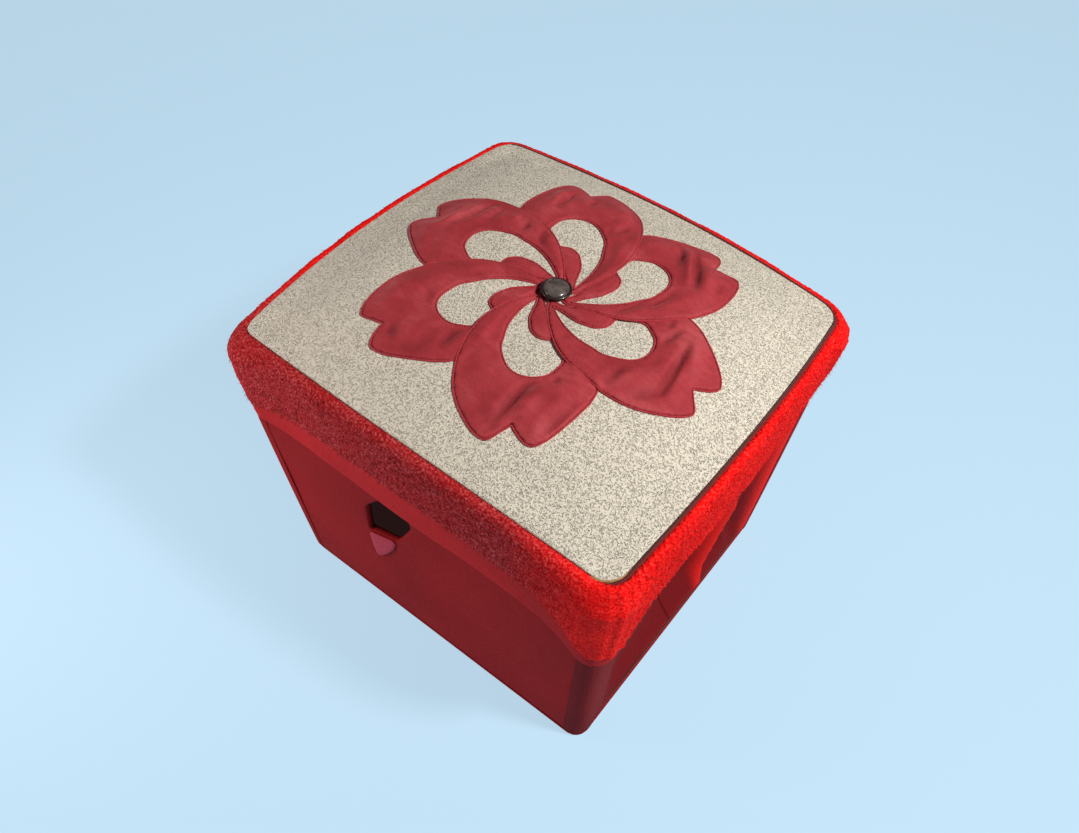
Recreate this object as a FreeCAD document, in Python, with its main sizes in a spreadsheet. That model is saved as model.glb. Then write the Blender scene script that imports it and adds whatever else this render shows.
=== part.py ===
import FreeCAD, Part
import Sketcher
import math
import os

# Folding storage stool: a fabric-covered box whose two sides crease inward, with a padded lift-off lid.
# Millimetres, +Z up. The origin is on the floor, under the middle of the box. The front wall faces -Y.

DIMENSIONS = {
    # Lid: the seam round the cream top panel, and the outside of the lid's sides
    "SeamLength": 326, "SeamWidth": 300, "SeamCorner": 20,
    "LidLength": 352, "LidWidth": 326, "LidCorner": 28,
    "BandLength": 350, "BandWidth": 324,
    "BackingLength": 332, "BackingWidth": 306, "BackingCorner": 20,
    "LidBottom": 204, "BandTop": 228, "SideTop": 266, "EnvelopeTop": 306,
    "RollLength": 342, "RollWidth": 316,
    "DomeTop": 309.5, "DomeRadius": 850, "TopCover": 1.6,
    "RailThick": 3, "RailBottom": 222,
    "LidBoardBottom": 267, "LidBoardThick": 6,
    "FoamTopLength": 324, "FoamTopWidth": 298,
    "LidLiningLength": 325.6, "LidLiningWidth": 299.6, "LidLiningBottom": 259.5, "LidLiningThick": 0.8,
    # Flower: felt petals that follow the dome, the button at their middle and its tie
    "FlowerY": 5, "PetalLift": 0.15, "PetalThick": 1.5, "PetalCount": 6,
    "ButtonDiameter": 23.5, "ButtonRim": 2.2, "ButtonDome": 3.4, "CapEdge": 0.6, "ButtonGap": 0.25,
    "RimLip": 1.2,
    "CordDiameter": 2.4, "CordHole": 3.2, "KnotDiameter": 4.6,
    "WasherDiameter": 22, "WasherThick": 1.5,
    # Box: outside size, wall layers and the base under all four walls
    "BoxLength": 320, "BoxWidth": 290, "WallTop": 259, "BaseHeight": 5, "FoldLift": 0.5,
    "CoverThick": 1.2, "BoardThick": 3, "LiningThick": 0.8, "BoardInset": 1.5,
    "HingeGap": 0.5, "CreaseGap": 0.6,
    "BaseCoverThick": 1, "BaseBoardThick": 3.2,
    # Hand hole in the front wall, and the fabric tab folded down below it
    "HoleX": -39, "HoleHeight": 146, "TabThick": 1.2, "TabGap": 0.1,
}

# Corners of the hand hole, from its middle: (along X, up)
HOLE_CORNERS = [(-22, 5), (-6, 26), (22, 28), (24, 14), (7, -19), (-24, -30)]
# Corners of the tab, from the same middle
TAB_CORNERS = [(-24, -32), (6, -21), (2, -36), (-8, -52), (-18, -63), (-22, -50)]

# Petal outline as (radius, degrees) from the flower's middle; zero degrees is the cleft in its tip.
LEADING_EDGE = [
    (7, -82), (15, -70), (24, -61.5), (34, -56), (48, -50.3), (61, -45.3), (73, -40.1), (84, -35.6), (98.5, -30),
    (111.5, -24.7), (121, -20), (130, -14.5), (136, -10.4), (139, -7.2),
]
COVERED_POINTS = 9
FIRST_LOBE = [(139, -7.2), (138.5, -5.2), (131.5, -2.4), (126, 0)]
SECOND_LOBE = [(126, 0), (130.5, 1.8), (136, 4.3), (138.5, 7)]
TRAILING_EDGE = [(138.5, 7), (134.5, 10.3), (127.5, 14), (116.5, 19.8), (107.5, 25), (98.5, 29.4)]
CUTOUT_OUTER = [
    (17, -50), (22.5, -45.5), (35.5, -37), (49, -29.6), (61, -23.2), (77, -14.6), (86, -5), (85.5, 5.3),
    (78, 11.5), (69, 13.5),
]
CUTOUT_INNER = [(69, 13.5), (59, 11), (51, 6), (49, -2), (44, -10.3), (33, -21), (22, -34), (17, -50)]
CLEFT_ANGLE = -65.7
PETAL_GAP_DEGREES = 0.6

doc = FreeCAD.newDocument("FoldingStorageStool")
sheet = doc.addObject("Spreadsheet::Sheet", "Dimensions")
for row, (alias, value) in enumerate(DIMENSIONS.items(), start=1):
    sheet.set(f"A{row}", alias)
    sheet.set(f"B{row}", str(value))
    sheet.setAlias(f"B{row}", alias)
doc.recompute()

size = DIMENSIONS
subparts = []


def keep(feature, label):
    """Marks a feature as a finished sub-part, named by its label."""
    feature.Label = label
    subparts.append(feature)
    return feature


def expression(text):
    """Spreadsheet names in an expression, written without their prefix."""
    words = sorted(DIMENSIONS, key=len, reverse=True)
    marked = text
    for index, word in enumerate(words):
        marked = marked.replace(word, f"<{index}>")
    for index, word in enumerate(words):
        marked = marked.replace(f"<{index}>", f"Dimensions.{word}")
    return marked


def bind(feature, **fields):
    """Ties properties of a feature to the sheet; a double underscore stands for a dot."""
    for name, text in fields.items():
        feature.setExpression(name.replace("__", "."), expression(text))


def box(name, spans):
    """A block from three (low, high) pairs of expressions, along X, Y and Z."""
    block = doc.addObject("Part::Box", name)
    for side, axis, (low, high) in zip(("Length", "Width", "Height"), "xyz", spans):
        block.setExpression(side, expression(f"({high}) - ({low})"))
        block.setExpression(f"Placement.Base.{axis}", expression(low))
    return block


def cylinder(name, diameter, low, high):
    """An upright cylinder through the flower's middle."""
    rod = doc.addObject("Part::Cylinder", name)
    bind(rod, Radius=f"({diameter}) / 2", Height=f"({high}) - ({low})")
    bind(rod, Placement__Base__y="FlowerY", Placement__Base__z=low)
    return rod


def cut(name, base, *tools):
    """The base with each tool taken away in turn."""
    result = base
    for index, tool in enumerate(tools):
        step = doc.addObject("Part::Cut", name if index == len(tools) - 1 else f"{name}_step{index}")
        step.Base = result
        step.Tool = tool
        result = step
    return result


def common(name, first, second):
    both = doc.addObject("Part::Common", name)
    both.Base = first
    both.Tool = second
    return both


def new_body(name):
    body = doc.addObject("PartDesign::Body", name)
    planes = {plane.Role: plane for plane in body.Origin.OriginFeatures}
    return body, planes


def new_sketch(body, plane, name, height=None):
    """A sketch on one of its body's own planes, at a height given by an expression."""
    sketch = body.newObject("Sketcher::SketchObject", name)
    sketch.AttachmentSupport = [(plane, "")]
    sketch.MapMode = "FlatFace"
    if height:
        sketch.setExpression("AttachmentOffset.Base.z", expression(height))
    return sketch


def draw_rounded_rectangle(sketch, length, width, corner):
    """A rectangle centred on the origin, with round corners, bound to three sheet names."""
    half_x = size[length] / 2
    half_y = size[width] / 2
    radius = size[corner]
    up = FreeCAD.Vector(0, 0, 1)
    inner_x = half_x - radius
    inner_y = half_y - radius
    sides = [
        ((-inner_x, -half_y), (inner_x, -half_y)),
        ((half_x, -inner_y), (half_x, inner_y)),
        ((inner_x, half_y), (-inner_x, half_y)),
        ((-half_x, inner_y), (-half_x, -inner_y)),
    ]
    centres = [(inner_x, -inner_y), (inner_x, inner_y), (-inner_x, inner_y), (-inner_x, -inner_y)]
    for start, end in sides:
        sketch.addGeometry(Part.LineSegment(FreeCAD.Vector(*start, 0), FreeCAD.Vector(*end, 0)), False)
    for turn, centre in enumerate(centres):
        round_corner = Part.Circle(FreeCAD.Vector(*centre, 0), up, radius)
        first = math.radians(turn * 90 - 90)
        sketch.addGeometry(Part.ArcOfCircle(round_corner, first, first + math.pi / 2), False)
    for turn in range(4):
        sketch.addConstraint(Sketcher.Constraint("Tangent", turn, 2, 4 + turn, 1))
        sketch.addConstraint(Sketcher.Constraint("Tangent", 4 + turn, 2, (turn + 1) % 4, 1))
    for turn in range(3):
        sketch.addConstraint(Sketcher.Constraint("Equal", 4 + turn, 5 + turn))
    for side in (0, 2):
        sketch.addConstraint(Sketcher.Constraint("Horizontal", side))
    sketch.addConstraint(Sketcher.Constraint("Symmetric", 4, 3, 6, 3, -1, 1))
    for kind, arguments, name in (
        ("DistanceX", (3, 1, 1, 1, size[length]), length),
        ("DistanceY", (0, 1, 2, 1, size[width]), width),
        ("Radius", (4, radius), corner),
    ):
        index = sketch.addConstraint(Sketcher.Constraint(kind, *arguments))
        sketch.setExpression(f"Constraints[{index}]", expression(name))


def draw_polygon(sketch, corners):
    """A closed outline of straight edges."""
    count = len(corners)
    for index in range(count):
        start = FreeCAD.Vector(*corners[index], 0)
        end = FreeCAD.Vector(*corners[(index + 1) % count], 0)
        sketch.addGeometry(Part.LineSegment(start, end), False)
    for index in range(count):
        sketch.addConstraint(Sketcher.Constraint("Coincident", index, 2, (index + 1) % count, 1))


def pad(body, sketch, length, midplane=False):
    feature = body.newObject("PartDesign::Pad", f"{body.Name}_pad")
    feature.Profile = sketch
    feature.setExpression("Length", expression(length))
    if midplane:
        feature.SideType = "Symmetric"
    return feature


def prism(name, length, width, corner, low, high):
    """An upright block with round corners."""
    body, planes = new_body(name)
    sketch = new_sketch(body, planes["XY_Plane"], f"{name}_outline", low)
    draw_rounded_rectangle(sketch, length, width, corner)
    pad(body, sketch, f"({high}) - ({low})")
    return body


def tapered_block(name, bottom, top, corner, low, shoulder, high):
    """A block with round corners, straight up to its shoulder and then drawn in towards its top."""
    body, planes = new_body(name)
    base = new_sketch(body, planes["XY_Plane"], f"{name}_base", low)
    draw_rounded_rectangle(base, *bottom, corner)
    pad(body, base, f"({shoulder}) - ({low})")
    doc.recompute()
    lower = new_sketch(body, planes["XY_Plane"], f"{name}_lower", shoulder)
    draw_rounded_rectangle(lower, *bottom, corner)
    upper = new_sketch(body, planes["XY_Plane"], f"{name}_upper", high)
    draw_rounded_rectangle(upper, *top, corner)
    loft = body.newObject("PartDesign::AdditiveLoft", f"{name}_loft")
    loft.Profile = lower
    loft.Sections = [upper]
    return body


def dome(name, lift):
    """The big ball whose top is the cushion's crown, grown or shrunk by an expression."""
    ball = doc.addObject("Part::Sphere", name)
    bind(ball, Radius=f"DomeRadius + ({lift})", Placement__Base__z="DomeTop - DomeRadius")
    return ball


def polar(radius, degrees):
    angle = math.radians(degrees + CLEFT_ANGLE)
    return FreeCAD.Vector(radius * math.cos(angle), radius * math.sin(angle), 0)


def add_spline(sketch, points):
    curve = Part.BSplineCurve()
    curve.interpolate(points)
    sketch.addGeometry(curve, False)


def draw_petal(sketch):
    """One petal: leading edge, two lobes, trailing edge, then back along the next petal's leading edge."""
    turn = 360 / size["PetalCount"] - PETAL_GAP_DEGREES
    leading = [polar(*point) for point in LEADING_EDGE]
    border = [polar(radius, degrees + turn) for radius, degrees in LEADING_EDGE[:COVERED_POINTS]]
    add_spline(sketch, leading)
    for lobe in (FIRST_LOBE, SECOND_LOBE, TRAILING_EDGE):
        add_spline(sketch, [polar(*point) for point in lobe])
    add_spline(sketch, border[::-1])
    sketch.addGeometry(Part.LineSegment(border[0], leading[0]), False)
    add_spline(sketch, [polar(*point) for point in CUTOUT_OUTER])
    add_spline(sketch, [polar(*point) for point in CUTOUT_INNER])


# ---- Lid ----
BACKING = ("BackingLength", "BackingWidth", "BackingCorner")


def build_lid_frame():
    """The board under the foam, the four rails that reach down over the box, and the lining."""
    half_x = "BackingLength / 2"
    half_y = "BackingWidth / 2"
    across = (f"-{half_x} + BackingCorner", f"{half_x} - BackingCorner")
    along = (f"-{half_y} + BackingCorner", f"{half_y} - BackingCorner")
    height = ("RailBottom", "LidBoardBottom")
    keep(box("RailFront", (across, (f"-{half_y}", f"-{half_y} + RailThick"), height)), "lid_rail_front")
    keep(box("RailBack", (across, (f"{half_y} - RailThick", half_y), height)), "lid_rail_back")
    keep(box("RailLeft", ((f"-{half_x}", f"-{half_x} + RailThick"), along, height)), "lid_rail_left")
    keep(box("RailRight", ((f"{half_x} - RailThick", half_x), along, height)), "lid_rail_right")
    board_top = "LidBoardBottom + LidBoardThick"
    blank = prism("LidBoardBlank", *BACKING, "LidBoardBottom", board_top)
    keep(cut("LidBoard", blank, cord_hole), "lid_board")
    lining_top = "LidLiningBottom + LidLiningThick"
    lining_plan = ("LidLiningLength", "LidLiningWidth", "BackingCorner")
    keep(prism("LidLining", *lining_plan, "LidLiningBottom", lining_top), "lid_lining")


def build_cushion():
    """The foam block, its cream top panel, the plush side band and the smooth band at its hem."""
    ball = dome("CrownBall", "0")
    inner_ball = dome("FoamBall", "-TopCover")
    foam_block = tapered_block(
        "FoamBlock", BACKING[:2], ("FoamTopLength", "FoamTopWidth"),
        "BackingCorner", "LidBoardBottom + LidBoardThick", "LidBoardBottom + LidBoardThick + 1", "EnvelopeTop + 8",
    )
    keep(cut("Foam", common("FoamCrowned", foam_block, inner_ball), cord_hole), "lid_foam")

    panel = prism("PanelPrism", "SeamLength", "SeamWidth", "SeamCorner", "SideTop", "DomeTop + 10")
    crowned_panel = common("PanelCrowned", panel, ball)
    keep(cut("TopCover", crowned_panel, inner_ball, cord_hole), "lid_top_cover")

    envelope = tapered_block(
        "Envelope", ("LidLength", "LidWidth"), ("RollLength", "RollWidth"),
        "LidCorner", "BandTop", "SideTop", "EnvelopeTop + 8",
    )
    crowned = common("EnvelopeCrowned", envelope, ball)
    core = prism("RailCore", *BACKING, "LidBottom - 1", "LidBoardBottom + LidBoardThick")
    keep(cut("PlushBand", crowned, panel, foam_block, core), "lid_plush_band")

    band = prism("BandBlock", "BandLength", "BandWidth", "LidCorner", "LidBottom", "BandTop")
    keep(cut("SmoothBand", band, core), "lid_smooth_band")


def build_flower():
    """Petals in a pinwheel, each cut back where the next one covers it, on the crowned top panel."""
    under = dome("PetalUnderside", "PetalLift")
    over = dome("PetalTop", "PetalLift + PetalThick")
    for number in range(size["PetalCount"]):
        body, planes = new_body(f"PetalPrism{number + 1}")
        sketch = new_sketch(body, planes["XY_Plane"], f"PetalOutline{number + 1}", "SideTop")
        draw_petal(sketch)
        pad(body, sketch, "DomeTop - SideTop + 10")
        turn = FreeCAD.Rotation(FreeCAD.Vector(0, 0, 1), number * 360 / size["PetalCount"])
        body.Placement = FreeCAD.Placement(FreeCAD.Vector(0, 0, 0), turn)
        bind(body, Placement__Base__y="FlowerY")
        doc.recompute()
        crowned = common(f"PetalCrowned{number + 1}", body, over)
        keep(cut(f"Petal{number + 1}", crowned, under), f"petal_{number + 1}")


def build_button():
    """A domed cap in a rim, and the cord that ties it down through the foam to a washer under the board."""
    seat = "DomeTop + PetalLift + PetalThick + ButtonGap"
    rim_block = cylinder("RimBlock", "ButtonDiameter", seat, f"{seat} + ButtonRim")
    shank_hole = cylinder("ShankHole", "CordHole", f"{seat} - 1", f"{seat} + ButtonRim / 2")
    recess = cylinder("RimRecess", "ButtonDiameter - 2 * RimLip", f"{seat} + ButtonRim / 2", f"{seat} + ButtonRim + 1")
    keep(cut("ButtonRimRing", rim_block, shank_hole, recess), "button_rim")

    cap_radius = "(ButtonDiameter / 2 - RimLip)"
    cap_base = f"{seat} + ButtonRim / 2"
    cap_block = cylinder("CapBlock", "ButtonDiameter - 2 * RimLip", cap_base, f"{cap_base} + ButtonDome + 1")
    cap_ball = doc.addObject("Part::Sphere", "CapBall")
    cap_curve = f"(({cap_radius} * {cap_radius} + ButtonDome * ButtonDome) / (2 * ButtonDome))"
    bind(cap_ball, Radius=cap_curve, Placement__Base__z=f"{cap_base} + ButtonDome + CapEdge - {cap_curve}")
    bind(cap_ball, Placement__Base__y="FlowerY")
    keep(common("ButtonCap", cap_block, cap_ball), "button_cap")

    rod = cylinder("CordRod", "CordDiameter", "LidBoardBottom - WasherThick - 1", f"{seat} + ButtonRim / 2")
    knot = doc.addObject("Part::Sphere", "CordKnot")
    bind(knot, Radius="KnotDiameter / 2", Placement__Base__y="FlowerY")
    bind(knot, Placement__Base__z="LidBoardBottom - WasherThick - KnotDiameter / 2")
    tie = doc.addObject("Part::Fuse", "CordAndKnot")
    tie.Base = rod
    tie.Tool = knot
    keep(tie, "tuft_cord")
    disc = cylinder("WasherDisc", "WasherDiameter", "LidBoardBottom - WasherThick", "LidBoardBottom")
    keep(cut("Washer", disc, cord_hole), "tuft_washer")


# ---- Box ----
WALL_LAYERS = {
    # Each layer of a wall: how far its outer and inner faces lie from the outside, and its inset at the edges
    "cover": ("0", "CoverThick", "0"),
    "board": ("CoverThick", "CoverThick + BoardThick", "BoardInset"),
    "lining": ("CoverThick + BoardThick", "CoverThick + BoardThick + LiningThick", "0"),
}
WALL_THICK = "CoverThick + BoardThick + LiningThick"


def wall_layer(label, layer, side, along, low, tool=None):
    """One layer of a wall. side is (axis, sign) of the wall's outside; along is its span on the other axis."""
    outer, inner, inset = WALL_LAYERS[layer]
    axis, sign = side
    face = "BoxLength / 2" if axis == "x" else "BoxWidth / 2"
    if sign > 0:
        depth = (f"{face} - ({inner})", f"{face} - ({outer})")
    else:
        depth = (f"-{face} + {outer}", f"-{face} + {inner}")
    span = (f"{along[0]} + {inset}", f"{along[1]} - {inset}")
    height = (f"{low} + {inset}", f"WallTop - {inset}")
    spans = (depth, span, height) if axis == "x" else (span, depth, height)
    name = "".join(word.capitalize() for word in label.split("_"))
    layer_block = box(name if tool is None else f"{name}Blank", spans)
    keep(layer_block if tool is None else cut(name, layer_block, tool), label)


def build_walls():
    """Front wall fixed to the base; back wall and the two creased sides stand just clear of it."""
    cutter_body, planes = new_body("HandHoleCutter")
    hole = new_sketch(cutter_body, planes["XZ_Plane"], "HandHoleOutline", "BoxWidth / 2")
    draw_polygon(hole, [(size["HoleX"] + x, size["HoleHeight"] + z) for x, z in HOLE_CORNERS])
    pad(cutter_body, hole, "4 * (CoverThick + BoardThick + LiningThick)", midplane=True)
    full = ("-BoxLength / 2", "BoxLength / 2")
    front_half = (f"-BoxWidth / 2 + {WALL_THICK} + HingeGap", "-CreaseGap / 2")
    back_half = ("CreaseGap / 2", f"BoxWidth / 2 - ({WALL_THICK}) - HingeGap")
    lifted = "BaseHeight + FoldLift"
    for layer in WALL_LAYERS:
        wall_layer(f"front_{layer}", layer, ("y", -1), full, "BaseHeight", cutter_body)
        wall_layer(f"back_{layer}", layer, ("y", 1), full, lifted)
        for name, sign in (("right", 1), ("left", -1)):
            wall_layer(f"{name}_front_{layer}", layer, ("x", sign), front_half, lifted)
            wall_layer(f"{name}_back_{layer}", layer, ("x", sign), back_half, lifted)

    tab_body, planes = new_body("PullTab")
    tab = new_sketch(tab_body, planes["XZ_Plane"], "PullTabOutline", "BoxWidth / 2 + TabGap")
    draw_polygon(tab, [(size["HoleX"] + x, size["HoleHeight"] + z) for x, z in TAB_CORNERS])
    pad(tab_body, tab, "TabThick")
    keep(tab_body, "pull_tab")


def build_base():
    """A board lying in a shallow fabric tray, under a sheet of lining."""
    full_x = ("-BoxLength / 2", "BoxLength / 2")
    full_y = ("-BoxWidth / 2", "BoxWidth / 2")
    inner_x = ("-BoxLength / 2 + CoverThick", "BoxLength / 2 - CoverThick")
    inner_y = ("-BoxWidth / 2 + CoverThick", "BoxWidth / 2 - CoverThick")
    tray = box("TrayBlock", (full_x, full_y, ("0", "BaseHeight")))
    hollow = box("TrayHollow", (inner_x, inner_y, ("BaseCoverThick", "BaseHeight + 1")))
    keep(cut("BaseTray", tray, hollow), "base_cover")
    board_top = "BaseCoverThick + BaseBoardThick"
    keep(box("BaseBoard", (inner_x, inner_y, ("BaseCoverThick", board_top))), "base_board")
    keep(box("BaseLining", (inner_x, inner_y, (board_top, "BaseHeight"))), "base_lining")


cord_hole = cylinder("CordHoleTool", "CordHole", "RailBottom", "DomeTop + 20")
build_lid_frame()
build_cushion()
build_flower()
build_button()
build_base()
build_walls()
doc.recompute()

failed = [feature.Name for feature in doc.Objects if {"Invalid", "Error"} & set(feature.State)]
failed += [part.Label for part in subparts if part.Shape.isNull() or not part.Shape.isValid()]
if failed:
    raise RuntimeError(f"these did not build: {failed}")

os.makedirs("parts", exist_ok=True)
for part in subparts:
    part.Shape.exportStep(f"parts/{part.Label}.step")
    bounds = part.Shape.BoundBox
    solids = len(part.Shape.Solids)
    print(f"{part.Label:20s} solids {solids} volume {part.Shape.Volume:12.1f} top {bounds.ZMax:7.2f}")
print(f"{len(subparts)} sub-parts")
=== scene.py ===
"""Looks of a folding storage stool: a fabric box with a padded, flower-trimmed lift-off lid.

Shapes are worked out in millimetres in the frame's own axes and turned to metres when a mesh is made.
"""

import math

import bpy
import numpy as np
from mathutils import Euler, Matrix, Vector, noise
from mathutils.bvhtree import BVHTree
from mathutils.geometry import delaunay_2d_cdt


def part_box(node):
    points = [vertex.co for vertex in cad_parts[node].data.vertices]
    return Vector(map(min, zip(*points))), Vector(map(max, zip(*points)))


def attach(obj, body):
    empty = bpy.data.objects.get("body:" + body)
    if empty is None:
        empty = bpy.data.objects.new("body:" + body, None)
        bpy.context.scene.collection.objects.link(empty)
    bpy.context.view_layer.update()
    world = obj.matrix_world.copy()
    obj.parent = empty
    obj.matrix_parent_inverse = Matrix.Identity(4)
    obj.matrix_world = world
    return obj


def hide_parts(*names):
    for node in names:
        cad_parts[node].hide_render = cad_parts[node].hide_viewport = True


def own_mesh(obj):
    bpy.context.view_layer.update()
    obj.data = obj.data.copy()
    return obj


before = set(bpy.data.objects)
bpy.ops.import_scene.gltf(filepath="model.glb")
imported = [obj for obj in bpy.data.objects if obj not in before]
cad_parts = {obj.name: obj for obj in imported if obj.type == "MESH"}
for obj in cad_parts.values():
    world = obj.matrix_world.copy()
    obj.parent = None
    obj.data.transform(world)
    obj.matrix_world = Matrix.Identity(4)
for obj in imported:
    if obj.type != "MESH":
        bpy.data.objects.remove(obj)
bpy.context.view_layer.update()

MM = 0.001


def node_box(name):
    """Low and high corner of a CAD node, in millimetres."""
    low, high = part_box(name)
    return np.array(low) / MM, np.array(high) / MM


# ---------------------------------------------------------------- sizes, in millimetres

SEAM_HALF = node_box("lid_top_cover")[1][:2]    # half the seam's length and width at the corners
BODY_HALF = node_box("base_cover")[1][:2]
WALL_TOP = node_box("front_cover")[1][2]
RIM_LOW, RIM_HIGH = node_box("button_rim")
FLOWER = np.array([0.0, (RIM_LOW[1] + RIM_HIGH[1]) / 2])

SEAM_HEIGHT = 293.7                             # at the middle of each side
CROWN = 18.0                                    # how far the panel rises above its seam
CROWN_POWER = 4.0
SEAM_DROP = {(1, -1): 23.0, (-1, -1): 9.0, (1, 1): 8.0, (-1, 1): 1.0}
SEAM_DROOP_POWER = 4
SEAM_RADIUS = {(1, -1): 14.0, (-1, -1): 8.0, (1, 1): 15.0, (-1, 1): 12.0}
BOW = {"right": 8.5, "back": 10.0, "left": 10.5, "front": 8.0}
DIMPLE_DEPTH = 2.2
DIMPLE_REACH = 17.0
CELL = 4.0                                      # size of the cushion's mesh cells
CUSHION_DEPTH = 18.0
CUSHION_EDGE = [(-0.2, 1.2), (0.6, 3.6), (1.6, 8.0), (2.4, CUSHION_DEPTH)]   # inward and down from the seam
CUSHION_TAPER = 0.975                           # size of the underside beside the top

# ---------------------------------------------------------------- mesh helpers


def smooth_shaded(mesh):
    """Shades a mesh without facets."""
    mesh.polygons.foreach_set("use_smooth", [True] * len(mesh.polygons))


def make_mesh(name, points, faces):
    """A mesh object from points in millimetres, shaded without facets."""
    mesh = bpy.data.meshes.new(name)
    mesh.from_pydata((np.asarray(points, float) * MM).tolist(), [], faces)
    mesh.update()
    smooth_shaded(mesh)
    piece = bpy.data.objects.new(name, mesh)
    bpy.context.scene.collection.objects.link(piece)
    return piece


def mark(piece, name, values):
    """Stores a value from 0 to 1 at each point of a mesh, for its material to read."""
    attribute = piece.data.attributes.new(name, "FLOAT", "POINT")
    attribute.data.foreach_set("value", np.clip(values, 0, 1).astype(np.float32))


def grid_faces(rows, columns, closed_columns=False, closed_rows=False):
    """Quads of a grid of points that are numbered row by row."""
    faces = []
    for r in range(rows if closed_rows else rows - 1):
        for c in range(columns if closed_columns else columns - 1):
            below = r * columns
            above = (r + 1) % rows * columns
            after = (c + 1) % columns
            faces.append((below + c, below + after, above + after, above + c))
    return faces


def grid_border(rows, columns):
    """Numbers of a grid's border points, anticlockwise from its first point."""
    return (list(range(columns - 1)) + [r * columns + columns - 1 for r in range(rows - 1)]
            + [(rows - 1) * columns + c for c in range(columns - 1, 0, -1)]
            + [r * columns for r in range(rows - 1, 0, -1)])


def reversed_faces(faces, shift=0):
    """The same faces seen from behind, their points' numbers raised by shift."""
    return [tuple(i + shift for i in reversed(face)) for face in faces]


def closed_grid(rows, columns):
    """Faces of two layers of a grid's points, the second behind the first, closed round the border."""
    count = rows * columns
    front = grid_faces(rows, columns)
    border = grid_border(rows, columns)
    rim = [(after, here, here + count, after + count) for here, after in zip(border, border[1:] + border[:1])]
    return front + reversed_faces(front, count) + rim


def closed_layers(triangles, count):
    """Faces of two layers of the same triangles, closed round every border."""
    front = [tuple(triangle) for triangle in triangles.tolist()]
    directed = {(face[k], face[(k + 1) % 3]) for face in front for k in range(3)}
    rim = [(b, a, a + count, b + count) for a, b in sorted(directed) if (b, a) not in directed]
    return front + reversed_faces(front, count) + rim


def segment_distance(points, start, end):
    """Distance from each point to a straight line, and the share of its length at the nearest place."""
    edge = end - start
    share = np.clip(((points - start) @ edge) / max(edge @ edge, 1e-9), 0, 1)
    away = points - (start + share[:, None] * edge)
    return np.hypot(away[:, 0], away[:, 1]), share


def loop_distance(points, loop):
    """Distance from each point to a closed line, and whether the point is inside it."""
    best = np.full(len(points), np.inf)
    inside = np.zeros(len(points), bool)
    for a, b in zip(loop, np.roll(loop, -1, 0)):
        best = np.minimum(best, segment_distance(points, a, b)[0])
        if a[1] != b[1]:
            crosses = (a[1] > points[:, 1]) != (b[1] > points[:, 1])
            at = a[0] + (points[:, 1] - a[1]) / (b[1] - a[1]) * (b[0] - a[0])
            inside ^= crosses & (points[:, 0] < at)
    return best, inside


def fill_distance(points, loops):
    """Distance to the nearest closed line, and whether a point is in the first line and in no other."""
    distance, inside = loop_distance(points, loops[0])
    for hole in loops[1:]:
        away, in_hole = loop_distance(points, hole)
        distance = np.minimum(distance, away)
        inside &= ~in_hole
    return distance, inside


def triangulated(loops, spots, clear):
    """Fills the first closed line, but not the others, with triangles.

    The spots that are farther than clear from every line become points too. Returns the points, their
    triangles anticlockwise, and each point's distance from the nearest line.
    """
    distance, inside = fill_distance(spots, loops)
    spots = spots[inside & (distance > clear)]
    edges = []
    start = 0
    for loop in loops:
        edges += [(start + k, start + (k + 1) % len(loop)) for k in range(len(loop))]
        start += len(loop)
    result = delaunay_2d_cdt([Vector(point) for point in np.vstack([*loops, spots])], edges, [], 0, 1e-7)
    plan = np.array([tuple(point) for point in result[0]])
    triangles = np.array(result[2])
    triangles = triangles[fill_distance(plan[triangles].mean(1), loops)[1]]
    used, triangles = np.unique(triangles, return_inverse=True)
    triangles = triangles.reshape(-1, 3)
    plan = plan[used]
    a, b, c = (plan[triangles[:, k]] for k in range(3))
    area = (b[:, 0] - a[:, 0]) * (c[:, 1] - a[:, 1]) - (c[:, 0] - a[:, 0]) * (b[:, 1] - a[:, 1])
    triangles = np.where((area > 0)[:, None], triangles, triangles[:, ::-1])
    return plan, triangles, fill_distance(plan, loops)[0]


def staggered_grid(low, high, step):
    """Points of a triangular grid over a rectangle."""
    rise = step * math.sqrt(3) / 2
    points = []
    for r in range(int((high[1] - low[1]) / rise) + 1):
        for c in range(int((high[0] - low[0]) / step) + 1):
            points.append((low[0] + (c + 0.5 * (r % 2)) * step, low[1] + r * rise))
    return np.array(points)


def smooth_step(low, high, value):
    """Eases from 0 at low to 1 at high."""
    t = np.clip((value - low) / (high - low), 0.0, 1.0)
    return t * t * (3.0 - 2.0 * t)


def quarter_round(distance, reach):
    """Rises like a quarter circle from 0 at an edge to 1 at a distance of reach."""
    share = np.clip(distance / reach, 0, 1)
    return np.sqrt(np.clip(1 - (1 - share) ** 2, 0, 1))


def outward_of(loop):
    """Unit vectors that point out of a closed line, whichever way round it runs."""
    ahead = np.roll(loop, -1, 0)
    along = ahead - np.roll(loop, 1, 0)
    along /= np.hypot(along[:, 0], along[:, 1])[:, None]
    area = np.sum(loop[:, 0] * ahead[:, 1] - ahead[:, 0] * loop[:, 1])
    return np.stack([along[:, 1], -along[:, 0]], 1) * np.sign(area)


def evenly(line, step, least, closed=True):
    """Points at even distances of about step along a line, and those distances."""
    run = np.concatenate([[0], np.cumsum(np.hypot(*np.diff(line, axis=0).T))])
    places = np.linspace(0, run[-1], max(least, int(run[-1] / step)), endpoint=not closed)
    return np.stack([np.interp(places, run, line[:, axis]) for axis in (0, 1)], 1), places


def perlin(points, scale, seed):
    """Soft noise, about -1 to 1, at points in millimetres."""
    offset = Vector((seed * 17.3, seed * 5.1, seed * 29.7))
    return np.array([noise.noise(Vector(point) / scale + offset) for point in points])


# ---------------------------------------------------------------- materials


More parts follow.
